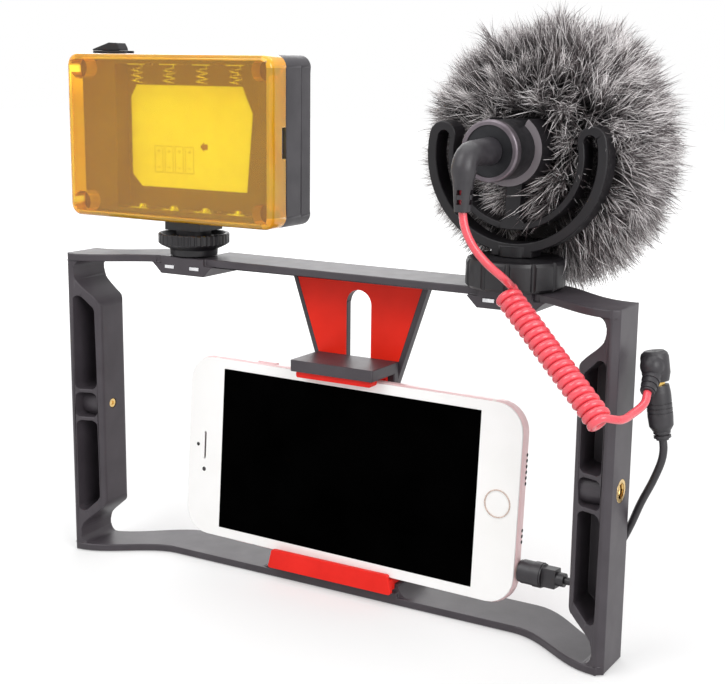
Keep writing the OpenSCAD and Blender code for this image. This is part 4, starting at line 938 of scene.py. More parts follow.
@dataclass
class Cords:
    """The red cord from the microphone and the black adapter cable to the phone."""

    red_mm: float = 2.85
    cable_mm: float = 2.8
    red_sides: int = 12
    cable_sides: int = 14
    red_step: float = 0.6
    cable_step: float = 1.2
    curl_mm: float = 9.6
    curl_points: int = 12
    turns: float = 19.625
    last_turn: float = 0.25
    curl_from: Point = (81.3, -30, 133)
    curl_to: Point = (124.6, -48, 97.2)
    boot_end: Point = (73.5, -49.5, 162.5)
    boot_deep: float = 9.4
    lead: tuple[Point, ...] = ((74.6, -49.5, 157), (76.6, -48.8, 152.3), (79.3, -47.2, 147.9),
                               (82.4, -44.6, 143.8), (84.8, -41, 140.4), (84.8, -36.8, 138.2))
    tail: tuple[Point, ...] = ((130.2, -43.7, 97.6), (131.4, -36.5, 98.2))
    socket_top: Point = (132.2, -14.5, 104)
    socket_tilt: float = 9.0
    socket_low: float = -19.4
    head_z: float = 7.0
    relief_turn: float = 127.0
    relief_len: float = 13.0
    relief_run: float = 1.6
    plug_len: float = 18.6
    cable: tuple[Point, ...] = ((135.2, -14.1, 77.6), (132, -12.4, 69.2), (127.2, -10, 59.4),
                                (123, -7.5, 49.6), (119.8, -6.2, 43), (116, -5.6, 37),
                                (112, -5.8, 31.8), (108.8, -7, 28.4), (106, -9.3, 26.2))

    def at_socket(self, p: Sequence[float]) -> np.ndarray:
        """A point of the tilted socket's own frame, in millimetres of the rig's frame."""
        c, s = (f(math.radians(self.socket_tilt)) for f in (math.cos, math.sin))
        return np.array(self.socket_top) + [p[0] * c - p[2] * s, p[1], p[0] * s + p[2] * c]

    def coil(self) -> np.ndarray:
        """Centre line of the curls, in millimetres.

        Returns:
            The line's points, from the lead to the tail.
        """
        start, stop = np.array(self.curl_from), np.array(self.curl_to)
        axis = unit(stop - start)
        one = unit(-np.cross([0, 1, 0], axis))
        two = np.cross(axis, one)
        all_turns = self.turns + self.last_turn
        turn = np.linspace(0, all_turns, round(all_turns * self.curl_points) + 1)[:, None]
        angle = -2 * math.pi * turn
        around = np.cos(angle) * one + np.sin(angle) * two
        return start + (stop - start) * turn / self.turns + (self.curl_mm - self.red_mm) / 2 * around

    def red_route(self) -> np.ndarray:
        """Centre line of the red cord from the elbow plug to the right-angle plug, in metres.

        Returns:
            The line's points.
        """
        a = math.radians(self.relief_turn)
        way = np.array([0, -math.sin(a), math.cos(a)])
        head = np.array([0, 0, self.head_z])
        end = self.at_socket(head + self.relief_len * way)
        leave = unit(end - self.at_socket(head))
        top = np.array(self.boot_end)
        points = [top + [0, 0, self.boot_deep], top, *self.lead, *self.coil(), *self.tail,
                  end + self.relief_run * self.red_mm * leave, end]
        return smooth_route(np.array(points) * MM, self.red_step * MM)

    def cable_route(self) -> np.ndarray:
        """Centre line of the black cable from the phone plug to the inline socket, in metres.

        Returns:
            The line's points.
        """
        phone = Phone()
        end = np.array(phone.at(phone.length / 2 + self.plug_len, phone.port_y, phone.jack_z)) / MM
        mouth = np.array(phone.at(phone.length / 2, phone.port_y, phone.jack_z)) / MM
        way = unit(end - mouth)
        start = self.at_socket((0, 0, self.socket_low))
        down = unit(start - np.array(self.socket_top))
        d = self.cable_mm
        points = [end, end + d * way, *self.cable[::-1], start + d * down, start]
        return smooth_route(np.array(points) * MM, self.cable_step * MM)

    def build(self, kit: Kit) -> None:
        """Args:
            kit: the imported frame, which gets the pieces.
        """
        elbow, plug, socket, end = kit.soften(Finishes.rubber, 0.2, "mic_plug", "adapter_plug",
                                              "adapter_socket", "phone_plug")
        red = self.red_route()
        cord = dress(tube("red_cord", red, self.red_mm * MM / 2, self.red_sides), Finishes.red_cord)
        kit.add(cord, Body.RIG.value, "curly_cord", ["red_lead", "curly_cord", "red_tail"])
        black = self.cable_route()
        cable = dress(tube("black_cable", black, self.cable_mm * MM / 2, self.cable_sides), Finishes.rubber)
        kit.add(cable, Body.RIG.value, "adapter_cable", ["adapter_cable"])
        kit.coat(Finishes.gold, "plug_pins")


@dataclass
class Cage:
    """Moulded frame with its panel, pads, inserts and springs, and the sliding clamp."""

    half_width: float = 123.0
    insert_y: float = -19.43
    insert_z: float = 65.5
    insert_r: float = 3.9
    flange_r: float = 4.3
    flange_t: float = 0.95
    bore_r: float = 2.55
    mouth: float = 0.35
    edge: float = 0.15
    sunk: float = 0.02
    lip: float = 0.1
    pitch: float = 1.27
    thread_deep: float = 0.32
    crest: Pair = (0.42, 0.58)
    sides: int = 40
    grip_len: float = 8.95
    tripod_len: float = 6.95
    tail_len: float = 15.2
    tail_r: float = 2.15
    tail_edge: float = 0.3
    # Radius at the mouth, radius at the bottom and depth of the hollow in the pin's end.
    dimple: Point = (0.9, 0.7, 0.5)

    def thread(self, name: str, length: float, place: Callable[[float, float, float], Point],
               node: str, kit: Kit, tail: float = 0.0) -> None:
        """A flanged brass bush with a thread cut in its bore.

        Args:
            name: the piece's name.
            length: how deep it goes, in millimetres.
            place: maps across, across and depth from the mouth to a point in metres.
            node: the CAD node it stands for.
            kit: the frame.
            tail: how deep the pin behind the bush goes, or 0 for none.
        """
        outer = [(self.bore_r + self.mouth, self.sunk), (self.flange_r - self.edge, 0.0),
                 (self.flange_r, self.edge), (self.flange_r, self.flange_t), (self.insert_r, self.flange_t),
                 (self.insert_r, length), (self.bore_r + self.lip, length)]
        verts, faces = lathe(outer, self.sides, place)
        first = len(verts)
        steps = int((length - 2 * self.edge) / self.pitch) * self.sides
        root_r = self.bore_r + self.thread_deep
        ridge = ((root_r, 0.0), *((self.bore_r, self.pitch * share) for share in self.crest),
                 (root_r, self.pitch))
        for i in range(steps + 1):
            a = 2 * math.pi * i / self.sides
            depth = self.edge + self.pitch * i / self.sides
            for r, off in ridge:
                verts.append(place(r * math.cos(a), r * math.sin(a), min(length - self.sunk, depth + off)))
        faces += [[first + 4 * i + k, first + 4 * i + k + 1, first + 4 * i + k + 5, first + 4 * i + k + 4]
                  for i in range(steps) for k in range(3)]
        if tail:
            first = len(verts)
            wide, narrow, deep = self.dimple
            start = length - self.tail_edge
            pin, more = lathe([(0, start), (self.tail_r, start), (self.tail_r, tail - self.tail_edge),
                               (self.tail_r - self.tail_edge, tail), (wide, tail), (narrow, tail - deep),
                               (0, tail - deep)], self.sides, place)
            verts += pin
            faces += [[first + i for i in face] for face in more]
        bush = mesh_object(name, verts, faces, sharp_deg=35)
        kit.add(dress(bush, Finishes.brass), Body.RIG.value, node, [node])

    def build(self, kit: Kit) -> None:
        """Dress the cage and the clamp.

        Args:
            kit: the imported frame, which gets the pieces.
        """
        kit.soften(Finishes.abs_frame, 0.45, "rig_frame")
        kit.soften(Finishes.abs_frame, 0.5, "jaw")
        kit.soften(Finishes.silicone, 0.3, "lower_pad", "jaw_pad")
        kit.soften(Finishes.red_sheet, 0.12, "red_panel")
        kit.soften(Finishes.abs_black, 0.35, "clamp_knob")
        kit.soften(Finishes.steel, 0.15, "clamp_washer", "clamp_screw", "shoe_spring_left",
                   "shoe_spring_right")
        kit.coat(Finishes.brass, "knob_nut")
        for side, node in ((-1, "grip_insert_left"), (1, "grip_insert_right")):
            self.thread(node + "_threaded", self.grip_len, lambda a, b, d, s=side: (
                s * (self.half_width - d) * MM, (self.insert_y + a) * MM, (self.insert_z + b) * MM),
                node, kit, self.tail_len)
        self.thread("tripod_insert_threaded", self.tripod_len, in_metres, "tripod_insert", kit)


@dataclass
class Phone:
    """The phone in the clamp: a plain white-fronted phone with a round home button."""

    length: float = 158.2
    thick: float = 7.3
    centre: Point = (2.7, -6.071, 49.613)
    lean: float = 4.2
    turn: float = 2.0
    home_x: float = 70.0
    home_r: float = 5.4
    home_ring: Pair = (0.4, 0.05)
    ring_rise: float = 0.34
    lens_z: float = -10.4
    lens_r: float = 0.95
    sensor_off: float = 3.6
    sensor_r: float = 0.8
    print_rise: float = 0.03
    port_y: float = 0.45
    jack_z: float = -24.75
    hole_pitch: float = 2.2
    # Place of the first hole, direction of the row and number of holes.
    hole_rows: tuple[tuple[float, int, int], ...] = ((8.5, 1, 6), (-9.5, -1, 3))
    hole_profile: tuple[Pair, ...] = ((0, 0.06), (0.62, 0.06), (0.75, 0.0))
    hole_sides: int = 12
    hole_sunk: float = 0.02

    def at(self, x: float, y: float, z: float) -> Point:
        """Turn a point of the phone's own frame to the rig's.

        Args:
            x: place along the phone, in millimetres.
            y: depth behind the phone's middle plane, in millimetres.
            z: place across the phone, upwards, in millimetres.

        Returns:
            The point in the rig's frame, in metres.
        """
        lean, turn = math.radians(self.lean), math.radians(self.turn)
        into = y * math.cos(lean) + z * math.sin(lean)
        rise = z * math.cos(lean) - y * math.sin(lean)
        return ((self.centre[0] + x * math.cos(turn) + into * math.sin(turn)) * MM,
                (self.centre[1] + into * math.cos(turn) - x * math.sin(turn)) * MM,
                (self.centre[2] + rise) * MM)

    def ring(self, name: str, x: float, z: float, inner: float, outer: float, rise: float,
             finish: Finish, node: str, kit: Kit) -> None:
        """A flat ring with rounded edges on the phone's front glass.

        Args:
            name: the piece's name.
            x: its place along the phone.
            z: its place across the phone.
            inner: inner radius, or 0 for a disc.
            outer: outer radius.
            rise: how far it stands off the glass.
            finish: its finish.
            node: the node whose body it takes.
            kit: the frame.
        """
        edge, shoulder, sunk, sides = 0.06, 0.7, 0.05, 48
        face = -self.thick / 2
        low, mid, top = face + sunk, face - rise * shoulder, face - rise
        inside = [(inner, low), (inner, mid), (inner + edge, top)] if inner else [(0, top)]
        outside = [(outer - edge, top), (outer, mid), (outer, low)]
        verts, faces = lathe(inside + outside, sides, lambda a, b, h: self.at(x + a, h, z + b))
        kit.add(dress(mesh_object(name, verts, faces), finish), kit.bodies[node], node)

    def speaker_holes(self, kit: Kit) -> None:
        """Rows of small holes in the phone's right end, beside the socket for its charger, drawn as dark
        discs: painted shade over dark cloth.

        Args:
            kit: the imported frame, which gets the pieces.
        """
        # Each hole is a dark disc: painted shade over the cloth behind it.
        dot = mesh_object("hole", *lathe(self.hole_profile, self.hole_sides, in_metres))
        spots = [self.at(self.length / 2 - self.hole_sunk, self.port_y, first + way * self.hole_pitch * i)
                 for first, way, count in self.hole_rows for i in range(count)]
        turn = math.radians(self.turn)
        piece = Scatter.piece("speaker_holes", [dot], Finishes.dark_cloth_and_hole_shade, np.array(spots),
                              np.array([math.cos(turn), -math.sin(turn), 0]), np.array([0, 1, 0]),
                              np.array(1.0))
        kit.add(piece, Body.RIG.value, "phone_display")

    def build(self, kit: Kit) -> None:
        """Dress the phone and add the details of its front.

        Args:
            kit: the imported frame, which gets the pieces.
        """
        kit.coat(Finishes.rose, "phone_body", "power_button", "volume_up", "volume_down", "mute_switch")
        kit.soften(Finishes.white_glass, 0.28, "phone_glass", segments=3)
        kit.coat(Finishes.black_glass, "phone_display", "phone_camera")
        kit.coat(Finishes.white_glass, "home_button")
        kit.coat(Finishes.cell_wrap, "phone_battery")
        kit.coat(Finishes.board, "phone_board")
        kit.coat(Finishes.pale, "phone_jack")
        inside, outside = self.home_ring
        self.ring("home_ring", self.home_x, 0, self.home_r - inside, self.home_r + outside,
                  self.ring_rise, Finishes.ring, "phone_body", kit)
        self.ring("front_lens", -self.home_x, self.lens_z, 0, self.lens_r, self.print_rise, Finishes.lens,
                  "phone_display", kit)
        self.ring("light_sensor", -self.home_x - self.sensor_off, 0, 0, self.sensor_r, self.print_rise,
                  Finishes.dark_cloth_and_hole_shade, "phone_display", kit)
        self.speaker_holes(kit)


@dataclass
class Lamp:
    """The battery lamp, seen from its battery side, with the amber filter over the open bay."""

    centre_x: float = -78.0
    centre_z: float = 179.6
    bay_x: float = -74.0
    bay_floor: float = -1.2
    plate_x: float = 50.2
    plate_z: float = 31.7
    post_x: float = 43.0
    post_z: float = 25.0
    # A face of the plate looks along Y by at least this much.
    face_on: float = 0.9
    bay_margin: float = 1.0
    cell_count: int = 4
    cell_pitch: float = 16.8
    spring_top: float = 209.1
    spring_y: float = -8.45
    spring_r: float = 2.35
    spring_turns: float = 3.0
    spring_points: int = 20
    spring_pitch: float = 2.1
    spring_lead: float = 0.7
    wire_r: float = 0.35
    wire_sides: int = 8
    board_y: float = 5.05
    led_count: tuple[int, int] = (12, 8)
    led_pitch: Pair = (7.6, 7.2)
    led_profile: tuple[Pair, ...] = (
        (1.75, 0.0), (1.75, 0.75), (1.55, 0.9), (1.35, 0.72), (0, 0.66))
    led_sides: int = 8
    # How far the front and the back of the print stand off the bay's floor.
    ink_front: float = 0.36
    ink_back: float = 0.29
    # The label's own middle lies this far left of the bay's, and the print is placed from it.
    label_off: float = 3.0
    line: float = 0.4
    mark_w: float = 4.2
    mark_h: float = 11.0
    mark_x: float = -17.0
    mark_z: float = -9.5
    mark_pitch: float = 5.4
    sign: float = 1.6
    sign_z: float = 3.4
    arrow_x: float = 8.4
    arrow_z: float = -3.6
    arrow_step: float = 0.6
    arrow_heights: tuple[float, ...] = (2.2, 2.2, 2.2, 3.4, 2.4, 1.2)

    def springs(self, kit: Kit) -> None:
        """Four coil springs at the top of the battery bay.

        Args:
            kit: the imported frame, which gets the pieces.
        """
        turns, lead = self.spring_turns, self.spring_lead
        t = np.linspace(0, 1, round(turns * self.spring_points) + 1)
        a = 2 * math.pi * turns * t
        route = np.c_[self.spring_r * np.cos(a), self.spring_r * np.sin(a),
                      -lead - self.spring_pitch * turns * t]
        route = np.vstack([[self.spring_r, 0, 0], [self.spring_r, 0, -lead / 2], route]) * MM
        coil = tube("spring", route, self.wire_r * MM, self.wire_sides)
        middle = (self.cell_count - 1) / 2
        spots = [in_metres(self.bay_x + (i - middle) * self.cell_pitch, self.spring_y, self.spring_top)
                 for i in range(self.cell_count)]
        piece = Scatter.piece("battery_coils", [coil], Finishes.steel, np.array(spots),
                              np.array([0, 0, 1]), np.array([1, 0, 0]), np.array(1.0))
        kit.add(piece, Body.LAMP.value, "battery_springs", ["battery_springs"])

    def lights(self, kit: Kit) -> None:
        """Rows of LEDs on the board behind the diffuser.

        Args:
            kit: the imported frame, which gets the pieces.
        """
        chip = mesh_object("chip", *lathe(self.led_profile, self.led_sides, in_metres))
        columns, rows = ([(i - (count - 1) / 2) * pitch for i in range(count)]
                         for count, pitch in zip(self.led_count, self.led_pitch))
        spots = [in_metres(self.centre_x + x, self.board_y, self.centre_z + z)
                 for x in columns for z in rows]
        piece = Scatter.piece("led_rows", [chip], Finishes.phosphor, np.array(spots),
                              np.array([0, 1, 0]), np.array([1, 0, 1]), np.array(1.0))
        kit.add(piece, Body.LAMP.value, "led_board")

    def marks(self, kit: Kit) -> None:
        """Plain polarity marks and an arrow, printed on the card in the battery bay.

        Args:
            kit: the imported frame, which gets the pieces.
        """
        line, wide, high, sign = self.line, self.mark_w, self.mark_h, self.sign
        bar_faces = 6
        # Width, height and place of the bars of one mark: a box, a plus and a minus.
        mark = ((wide, line, 0, high / 2), (wide, line, 0, -high / 2), (line, high, -wide / 2, 0),
                (line, high, wide / 2, 0), (sign, line, 0, self.sign_z), (line, sign, 0, self.sign_z),
                (sign, line, 0, -self.sign_z))
        bars = [(self.mark_x + self.mark_pitch * i + dx, dz + self.mark_z, w, h)
                for i in range(self.cell_count) for w, h, dx, dz in mark]
        outlines = len(bars)
        bars += [(self.arrow_x - self.arrow_step * i, self.arrow_z, self.arrow_step, h)
                 for i, h in enumerate(self.arrow_heights)]
        verts: list[Point] = []
        faces: list[list[int]] = []
        for x, z, w, h in bars:
            k = len(verts)
            for proud in (self.ink_front, self.ink_back):
                verts += [in_metres(self.bay_x - self.label_off + x + sx * w / 2, self.bay_floor - proud,
                                    self.centre_z + z + sz * h / 2)
                          for sx, sz in ((-1, -1), (1, -1), (1, 1), (-1, 1))]
            faces += [[k, k + 1, k + 2, k + 3], [k + 7, k + 6, k + 5, k + 4]]
            faces += [[k + a, k + (a + 1) % 4, k + 4 + (a + 1) % 4, k + 4 + a] for a in range(4)]
        piece = dress(mesh_object("polarity_marks", verts, faces), Finishes.ink)
        paint(piece, (Finishes.strong_ink,), lambda face: int(face.index >= bar_faces * outlines))
        kit.add(piece, Body.LAMP.value, "battery_label")

    def filter(self, kit: Kit) -> None:
        """The amber filter: a clear front plate between walls and corner posts with a painted glow."""
        piece = kit.soften(Finishes.amber, 0.5, "amber_filter", segments=3)[0]
        # The walls and the corner posts take the painted glow.
        paint(piece, (Finishes.amber_wall_painted_glow, Finishes.amber_post_painted_glow), self.filter_part)

    def housing(self, kit: Kit) -> None:
        """Both housing halves, with painted brown haze on the battery bay behind the filter."""
        rear, _ = kit.soften(Finishes.abs_lamp, 0.5, "lamp_rear_half", "lamp_front_half")
        # The bay's faces within the plate take the painted haze of light scattered in the amber.
        paint(rear, (Finishes.bay_painted_haze,), lambda face: int(self.past_plate(face) < -self.bay_margin))

    def from_centre(self, face: bpy.types.MeshPolygon) -> Pair:
        """How far a face lies from the lamp's centre to the side and in height, in millimetres."""
        x, _, z = (v / MM for v in face.center)
        return abs(x - self.centre_x), abs(z - self.centre_z)

    def past_plate(self, face: bpy.types.MeshPolygon) -> float:
        """How far a face lies outside the filter's plate, in millimetres, negative within it."""
        x, z = self.from_centre(face)
        return max(x - self.plate_x, z - self.plate_z)

    def filter_part(self, face: bpy.types.MeshPolygon) -> int:
        """Tell the filter's plate, walls and corner posts apart.

        Args:
            face: a face of the filter.

        Returns:
            0 on the plate, 1 on a wall and 2 on a corner post.
        """
        x, z = self.from_centre(face)
        if self.past_plate(face) <= 0 and abs(face.normal.y) >= self.face_on:
            return 0
        return 2 if x > self.post_x and z > self.post_z else 1

    def build(self, kit: Kit) -> None:
        """Dress the lamp, its mount and its filter.

        Args:
            kit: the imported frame, which gets the pieces.
        """
        self.housing(kit)
        kit.soften(Finishes.abs_black, 0.3, "lamp_stem", "switch_bezel", "lamp_switch")
        kit.soften(Finishes.abs_black, 0.2, "lock_wheel")
        kit.coat(Finishes.black_metal, "lamp_foot")
        kit.coat(Finishes.led_white, "led_board")
        kit.coat(Finishes.frosted, "diffuser")
        kit.coat(Finishes.board, "driver_board")
        kit.coat(Finishes.steel, "battery_contacts")
        kit.coat(Finishes.card, "battery_label")
        self.filter(kit)
        self.springs(kit)
        self.lights(kit)
        self.marks(kit)


@dataclass(frozen=True)
class MountRoom:
    """The room of the bar, the lock knob and the shock mount, which the pile stays out of."""

    hoop_z: float = -2.7
    hoop_deg: float = 14.0
    hoop_y: Pair = (-10.3, 0.4)
    # Inner and outer radius of each of the hoop's two rails.
    rails: tuple[Pair, ...] = ((30.7, 35.7), (23.5, 27.3))
    knob_y: float = -5.0
    knob_r: float = 19.2
    knob_top: float = 143.6
    bar_y: float = 14.0
    bar_top: float = 131.8
    clip_r: float = 14.0
    clip_y: float = -3.0
    # Half the width of the stem below and above its step.
    stem_half: Pair = (7.2, 3.8)
    stem_step: float = 159.0
    stem_top: float = 172.0
    saddle_half: float = 9.0
    saddle_top: float = 149.0

    def clear(self, p: np.ndarray, axis_z: float) -> np.ndarray:
        """Which points stay clear of the mount and the lock knob.

        Args:
            p: points in the axis frame, in millimetres.
            axis_z: height of the axis in the part's frame.

        Returns:
            True for each point that touches nothing.
        """
        across, along = np.abs(p[:, 0]), p[:, 2]
        low = p[:, 1] + axis_z
        knob = (np.hypot(p[:, 0], along - self.knob_y) < self.knob_r) & (low < self.knob_top)
        bar = (low < self.bar_top) & (np.abs(along) < self.bar_y)
        up = p[:, 1] - self.hoop_z
        ring = np.hypot(p[:, 0], up)
        deep = (along > self.hoop_y[0]) & (along < self.hoop_y[1])
        rails = np.any([(ring > inner) & (ring < outer) for inner, outer in self.rails], axis=0)
        rails &= up < ring * math.sin(math.radians(self.hoop_deg))
        clip = (np.hypot(p[:, 0], p[:, 1]) < self.clip_r) & (along < self.clip_y)
        stem = (across < np.where(low < self.stem_step, *self.stem_half)) & (low < self.stem_top) & deep
        saddle = (across < self.saddle_half) & (low < self.saddle_top) & deep
        return ~(knob | bar | (rails & deep) | clip | stem | saddle)


def fade(value: np.ndarray, span: float) -> np.ndarray:
    """A column that goes from 0 to 1 while the value goes from 0 to the span."""
    return np.clip(value / span, 0, 1)[:, None]


@dataclass
class Windscreen:
    """The furry windscreen: a foam body with long pile, over the front of the microphone."""

    axis_x: float = 73.5
    axis_z: float = 181.7
    centre_y: float = 15.7
    foam_r: float = 34.5
    foam_sides: int = 64
    dome_rows: int = 24
    rear_y: float = 5.5
    rim_y: float = 3.2
    rim_flat: float = 5.0
    # How far the rounding of the rim lies inside the dome's edge, and above the rear.
    rim_round: Pair = (1.6, 1.0)
    bore_r: float = 11.0
    bore_deep: float = 9.0
    bore_clear: float = 0.8
    strands: int = 44000
    parts: int = 8
    tuft_count: int = 800
    pile_mm: Pair = (11.0, 21.0)
    room: MountRoom = MountRoom()
    strays: tuple[Point, ...] = ((-21.3, 45.0, 5.0), (10.6, 52.0, 5.0))
    stray_strands: int = 30
    stray_mm: float = 0.7
    long_side: Pair = (0.985, -0.174)
    # Where a change begins and over how much it goes: the normals at the rim, the fan of the rear,
    # the sweep behind the dome, the spread over the rear's radius and the turn to the long side.
    rim_turn: Pair = (3.4, 3.0)
    rear_turn: Pair = (4.0, 3.5)
    sweep: Pair = (8.0, 16.0)
    spread: Pair = (18.0, 8.0)
    side_turn: Pair = (0.35, 0.7)
    # Length on the short side, what the long side adds, and what hanging adds over how much height.
    short_share: float = 0.74
    long_gain: float = 0.38
    hang_gain: float = 0.22
    hang_mm: float = 28.0
    # Behind the dome, what a strand loses of the normal and what it gains outwards.
    normal_loss: float = 0.75
    outward_gain: float = 0.8
    # On the rear, a strand's share outwards and along the normal, and how each changes with the spread.
    rear_outward: Pair = (0.3, 0.7)
    rear_normal: Pair = (0.9, -0.55)
    dome_ruffle: float = 0.3
    rear_ruffle: float = 0.34
    droop: Point = (0.0, -0.2, -0.2)
    tuft_ruffle: float = 0.46
    tuft_reach: Pair = (0.8, 1.2)
    tuft_pull: Pair = (0.2, 0.85)
    loose_share: float = 0.12
    probes: tuple[float, ...] = (0.35, 0.55, 0.75, 0.9, 1.0)
    bows: tuple[float, ...] = (0.08, 0.18, 0.3, 0.45)
    bow_ruffle: float = 0.5
    bow_out: float = 0.6
    bow_down: Point = (0.0, -0.5, 0.0)
    # Mean and spread of the share of bright strands in a tuft, and its limits.
    bright_share: Pair = (0.5, 0.2)
    bright_limits: Pair = (0.1, 0.9)
    bright_tint: Pair = (0.55, 1.0)
    dark_tint: Pair = (0.0, 0.45)
    seed: int = 17

    def profile(self) -> list[Pair]:
        """Outline of the foam body, from its bore over the rear to the dome's tip.

        Returns:
            Radius and distance along the axis of each point, in millimetres.
        """
        low = math.asin((self.rear_y + self.rim_y - self.centre_y) / self.foam_r)
        dome = [(self.foam_r * math.cos(a), self.centre_y + self.foam_r * math.sin(a))
                for a in np.linspace(low, math.pi / 2, self.dome_rows + 1)[:-1]]
        edge = dome[0][0]
        inside, above = self.rim_round
        return [(self.bore_r, self.rear_y + self.bore_deep), (self.bore_r, self.rear_y),
                (edge - self.rim_flat, self.rear_y), (edge - inside, self.rear_y + above), *dome,
                (0, self.centre_y + self.foam_r)]

    def foam(self, kit: Kit) -> None:
        """The dark body under the pile.

        Args:
            kit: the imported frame, which gets the pieces.
        """
        verts, faces = lathe(self.profile(), self.foam_sides, lambda a, b, h: in_metres(
            self.axis_x + a, h, self.axis_z + b))
        body = dress(mesh_object("windscreen_foam", verts, faces, sharp_deg=60), Finishes.foam)
        kit.add(body, Body.WINDSCREEN.value, "windscreen", ["windscreen"])

    @staticmethod
    def strand(bend: float) -> bpy.types.Object:
        """One tapered strand of unit length that bows towards its own X.

        Args:
            bend: how far its tip lies to the side.

        Returns:
            The strand, with its attribute along from root to tip.
        """
        # Real strands are finer: these are as thick as they need to be to show.
        half, third, sag = 0.0085, 2.0944, 0.4
        rows = [(0.0, half), (0.38, half * 1.05), (0.72, half * 0.75)]
        verts = [(bend * t * t + r * math.cos(a), r * math.sin(a), t)
                 for t, r in rows for a in (0.0, third, 2 * third)]
        verts.append((bend, 0.0, 1.0 - bend * bend * sag))
        faces = [[3 * i + k, 3 * i + (k + 1) % 3, 3 * i + 3 + (k + 1) % 3, 3 * i + 3 + k]
                 for i in range(2) for k in range(3)]
        faces += [[6 + k, 6 + (k + 1) % 3, 9] for k in range(3)]
        obj = mesh_object("strand", verts, faces, sharp_deg=180)
        along = obj.data.attributes.new("along", "FLOAT", "POINT")
        along.data.foreach_set("value", [min(1.0, max(0.0, v[2])) for v in verts])
        return obj

    def roots(self, rng: np.random.Generator) -> tuple[np.ndarray, np.ndarray]:
        """Points on the foam body, even over its surface, with its normals there.

        Args:
            rng: the source of chance.

        Returns:
            Points and normals in the axis frame: across, across and along, in millimetres.
        """
        line = np.array(self.profile()[1:])
        step = np.diff(line, axis=0)
        area = np.linalg.norm(step, axis=1) * (line[1:, 0] + line[:-1, 0])
        pick = rng.choice(len(step), self.strands, p=area / area.sum())
        t = rng.random(self.strands)
        r = line[pick, 0] + t * step[pick, 0]
        h = line[pick, 1] + t * step[pick, 1]
        a = rng.random(self.strands) * 2 * math.pi
        out = unit_rows(np.c_[step[pick, 1], -step[pick, 0]])
        # Normals turn smoothly over the rim, as the pile does.
        ball = unit_rows(np.c_[r, h - self.centre_y])
        begin, span = self.rim_turn
        flat = fade(self.rear_y + begin - h, span)
        out = ball * (1 - flat) + out * flat
        spot = np.c_[r * np.cos(a), r * np.sin(a), h]
        return spot, np.c_[out[:, 0] * np.cos(a), out[:, 0] * np.sin(a), out[:, 1]]

    def tufts(self, spot: np.ndarray, rng: np.random.Generator) -> tuple[np.ndarray, np.ndarray]:
        """Gather the strands in tufts.

        Args:
            spot: the strands' roots.
            rng: the source of chance.

        Returns:
            The number of the root at the middle of each tuft, and the number of each strand's tuft.
        """
        heads = rng.choice(len(spot), self.tuft_count, replace=False)
        tree = kdtree.KDTree(self.tuft_count)
        for i, p in enumerate(spot[heads]):
            tree.insert(p, i)
        tree.balance()
        return heads, np.array([tree.find(p)[1] for p in spot])

    def tips(self, spot: np.ndarray, lean: np.ndarray, heads: np.ndarray, near: np.ndarray,
             rng: np.random.Generator) -> np.ndarray:
        """Where each strand ends: drawn to its tuft's own tip, or to a stray tuft's.

        Args:
            spot: the strands' roots.
            lean: the way each strand would go by itself.
            heads: the root at the middle of each tuft.
            near: each strand's tuft.
            rng: the source of chance.

        Returns:
            The strands' tips.
        """
        # The pile is pressed short on the side of the lamp and hangs long on the other.
        side = unit_rows(spot[:, :2]) @ self.long_side
        begin, span = self.side_turn
        long = self.short_share + self.long_gain * fade(side + begin, span)
        long = long * (1 + self.hang_gain * fade(-spot[:, 1], self.hang_mm))
        tip = spot + lean * long * rng.uniform(*self.pile_mm, len(spot))[:, None]
        way = unit_rows(lean[heads] + self.tuft_ruffle * rng.normal(size=(len(heads), 3)))
        way *= rng.uniform(*self.tuft_reach, len(heads))[:, None] * np.mean(self.pile_mm)
        gather = spot[heads] + way * long[heads]
        pull = rng.uniform(*self.tuft_pull, len(heads))[near] * (rng.random(len(spot)) > self.loose_share)
        tip += (gather[near] - tip) * pull[:, None]
        for stray in np.array(self.strays):
            some = np.argsort(np.linalg.norm(spot - stray, axis=1))[:self.stray_strands]
            tip[some] = stray + self.stray_mm * rng.normal(size=(len(some), 3))
        return tip

    def leans(self, spot: np.ndarray, normal: np.ndarray, rng: np.random.Generator) -> np.ndarray:
        """The way that each strand would go by itself.

        Args:
            spot: the strands' roots.
            normal: the foam's normals there.
            rng: the source of chance.

        Returns:
            Directions of length 1: off the dome and swept outwards behind it, fanned out over the rear.
        """
        radial = unit_rows(spot * [1, 1, 0])
        rear = fade(self.rear_y + self.rear_turn[0] - spot[:, 2], self.rear_turn[1])
        loose = rng.normal(size=spot.shape)
        behind = fade(self.centre_y + self.sweep[0] - spot[:, 2], self.sweep[1])
        dome = (1 - self.normal_loss * behind) * normal + self.outward_gain * behind * radial
        dome = dome + self.dome_ruffle * loose + self.droop
        wide = fade(np.hypot(spot[:, 0], spot[:, 1]) - self.spread[0], self.spread[1])
        outward, upright = (share + change * wide for share, change in (self.rear_outward, self.rear_normal))
        flat = outward * radial + upright * normal + self.rear_ruffle * loose
        return unit_rows(dome * (1 - rear) + flat * rear)

    def tints(self, near: np.ndarray, rng: np.random.Generator) -> np.ndarray:
        """How silver each strand is, from 0 to 1, with more bright ones in some tufts than in others.

        Args:
            near: each strand's tuft.
            rng: the source of chance.

        Returns:
            A value for each strand.
        """
        draw = rng.random(len(near))
        share = np.clip(rng.normal(*self.bright_share, self.tuft_count), *self.bright_limits)
        return np.where(draw < share[near], rng.uniform(*self.bright_tint, len(near)),
                        rng.uniform(*self.dark_tint, len(near)))

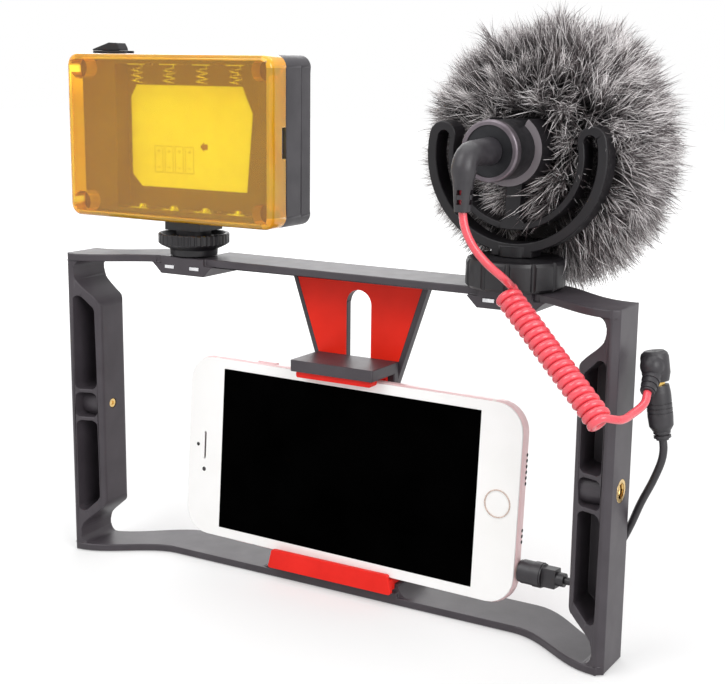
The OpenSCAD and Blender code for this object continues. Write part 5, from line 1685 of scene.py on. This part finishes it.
    def pile(self, kit: Kit) -> None:
        """The strands, in a few pieces.

        Args:
            kit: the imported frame, which gets the pieces.
        """
        rng = np.random.default_rng(self.seed)
        spot, normal = self.roots(rng)
        lean = self.leans(spot, normal, rng)
        heads, near = self.tufts(spot, rng)
        lean = self.tips(spot, lean, heads, near, rng) - spot
        reach = np.hypot(spot[:, 0], spot[:, 1])
        keep = (reach > self.bore_r + self.bore_clear) | (spot[:, 2] > self.centre_y)
        for share in self.probes:
            keep &= self.room.clear(spot + share * lean, self.axis_z)
        length = np.linalg.norm(lean, axis=1)
        bend = rng.normal(size=(len(heads), 3))[near] + self.bow_ruffle * rng.normal(size=spot.shape)
        bend += self.bow_out * unit_rows(spot * [1, 1, 0]) + self.bow_down
        tint = self.tints(near, rng)
        kind = rng.integers(0, len(self.bows), len(spot))
        world = np.array([self.axis_x, 0, self.axis_z])
        for part in range(self.parts):
            some = keep & (np.arange(len(spot)) % self.parts == part)
            shapes = [self.strand(bow) for bow in self.bows]
            piece = Scatter.piece(
                f"windscreen_pile_{part + 1}", shapes, Finishes.pile,
                (spot[some][:, [0, 2, 1]] + world) * MM, lean[some][:, [0, 2, 1]],
                bend[some][:, [0, 2, 1]], length[some] * MM, tint[some], kind[some])
            kit.add(piece, Body.WINDSCREEN.value, "windscreen")

    def build(self, kit: Kit) -> None:
        """Make the foam body and its pile."""
        self.foam(kit)
        self.pile(kit)


@dataclass
class Microphone:
    """Microphone in its shock mount, with the shoe foot and the lock knob."""

    def build(self, kit: Kit) -> None:
        """Dress the microphone and its mount.

        Args:
            kit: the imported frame, which gets the pieces.
        """
        kit.coat(Finishes.black_metal, "mic_foot", "mic_barrel", "mic_capsule")
        kit.soften(Finishes.grey_metal, 0.2, "mic_rear_ring")
        kit.soften(Finishes.lyre, 0.4, "shock_mount")
        kit.soften(Finishes.abs_black, 0.35, "mic_knob")


def main() -> None:
    """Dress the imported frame, piece by piece."""
    logging.basicConfig(level=logging.INFO, format="%(message)s")
    kit = Kit(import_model())
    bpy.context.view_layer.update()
    studio = Studio()
    studio.camera()
    Cords().build(kit)
    for part in (Cage(), Phone(), Lamp(), Microphone(), Windscreen()):
        part.build(kit)
        LOG.info("%s done", type(part).__name__)
    studio.floor()
    studio.light()


if __name__ == "__main__":
    main()
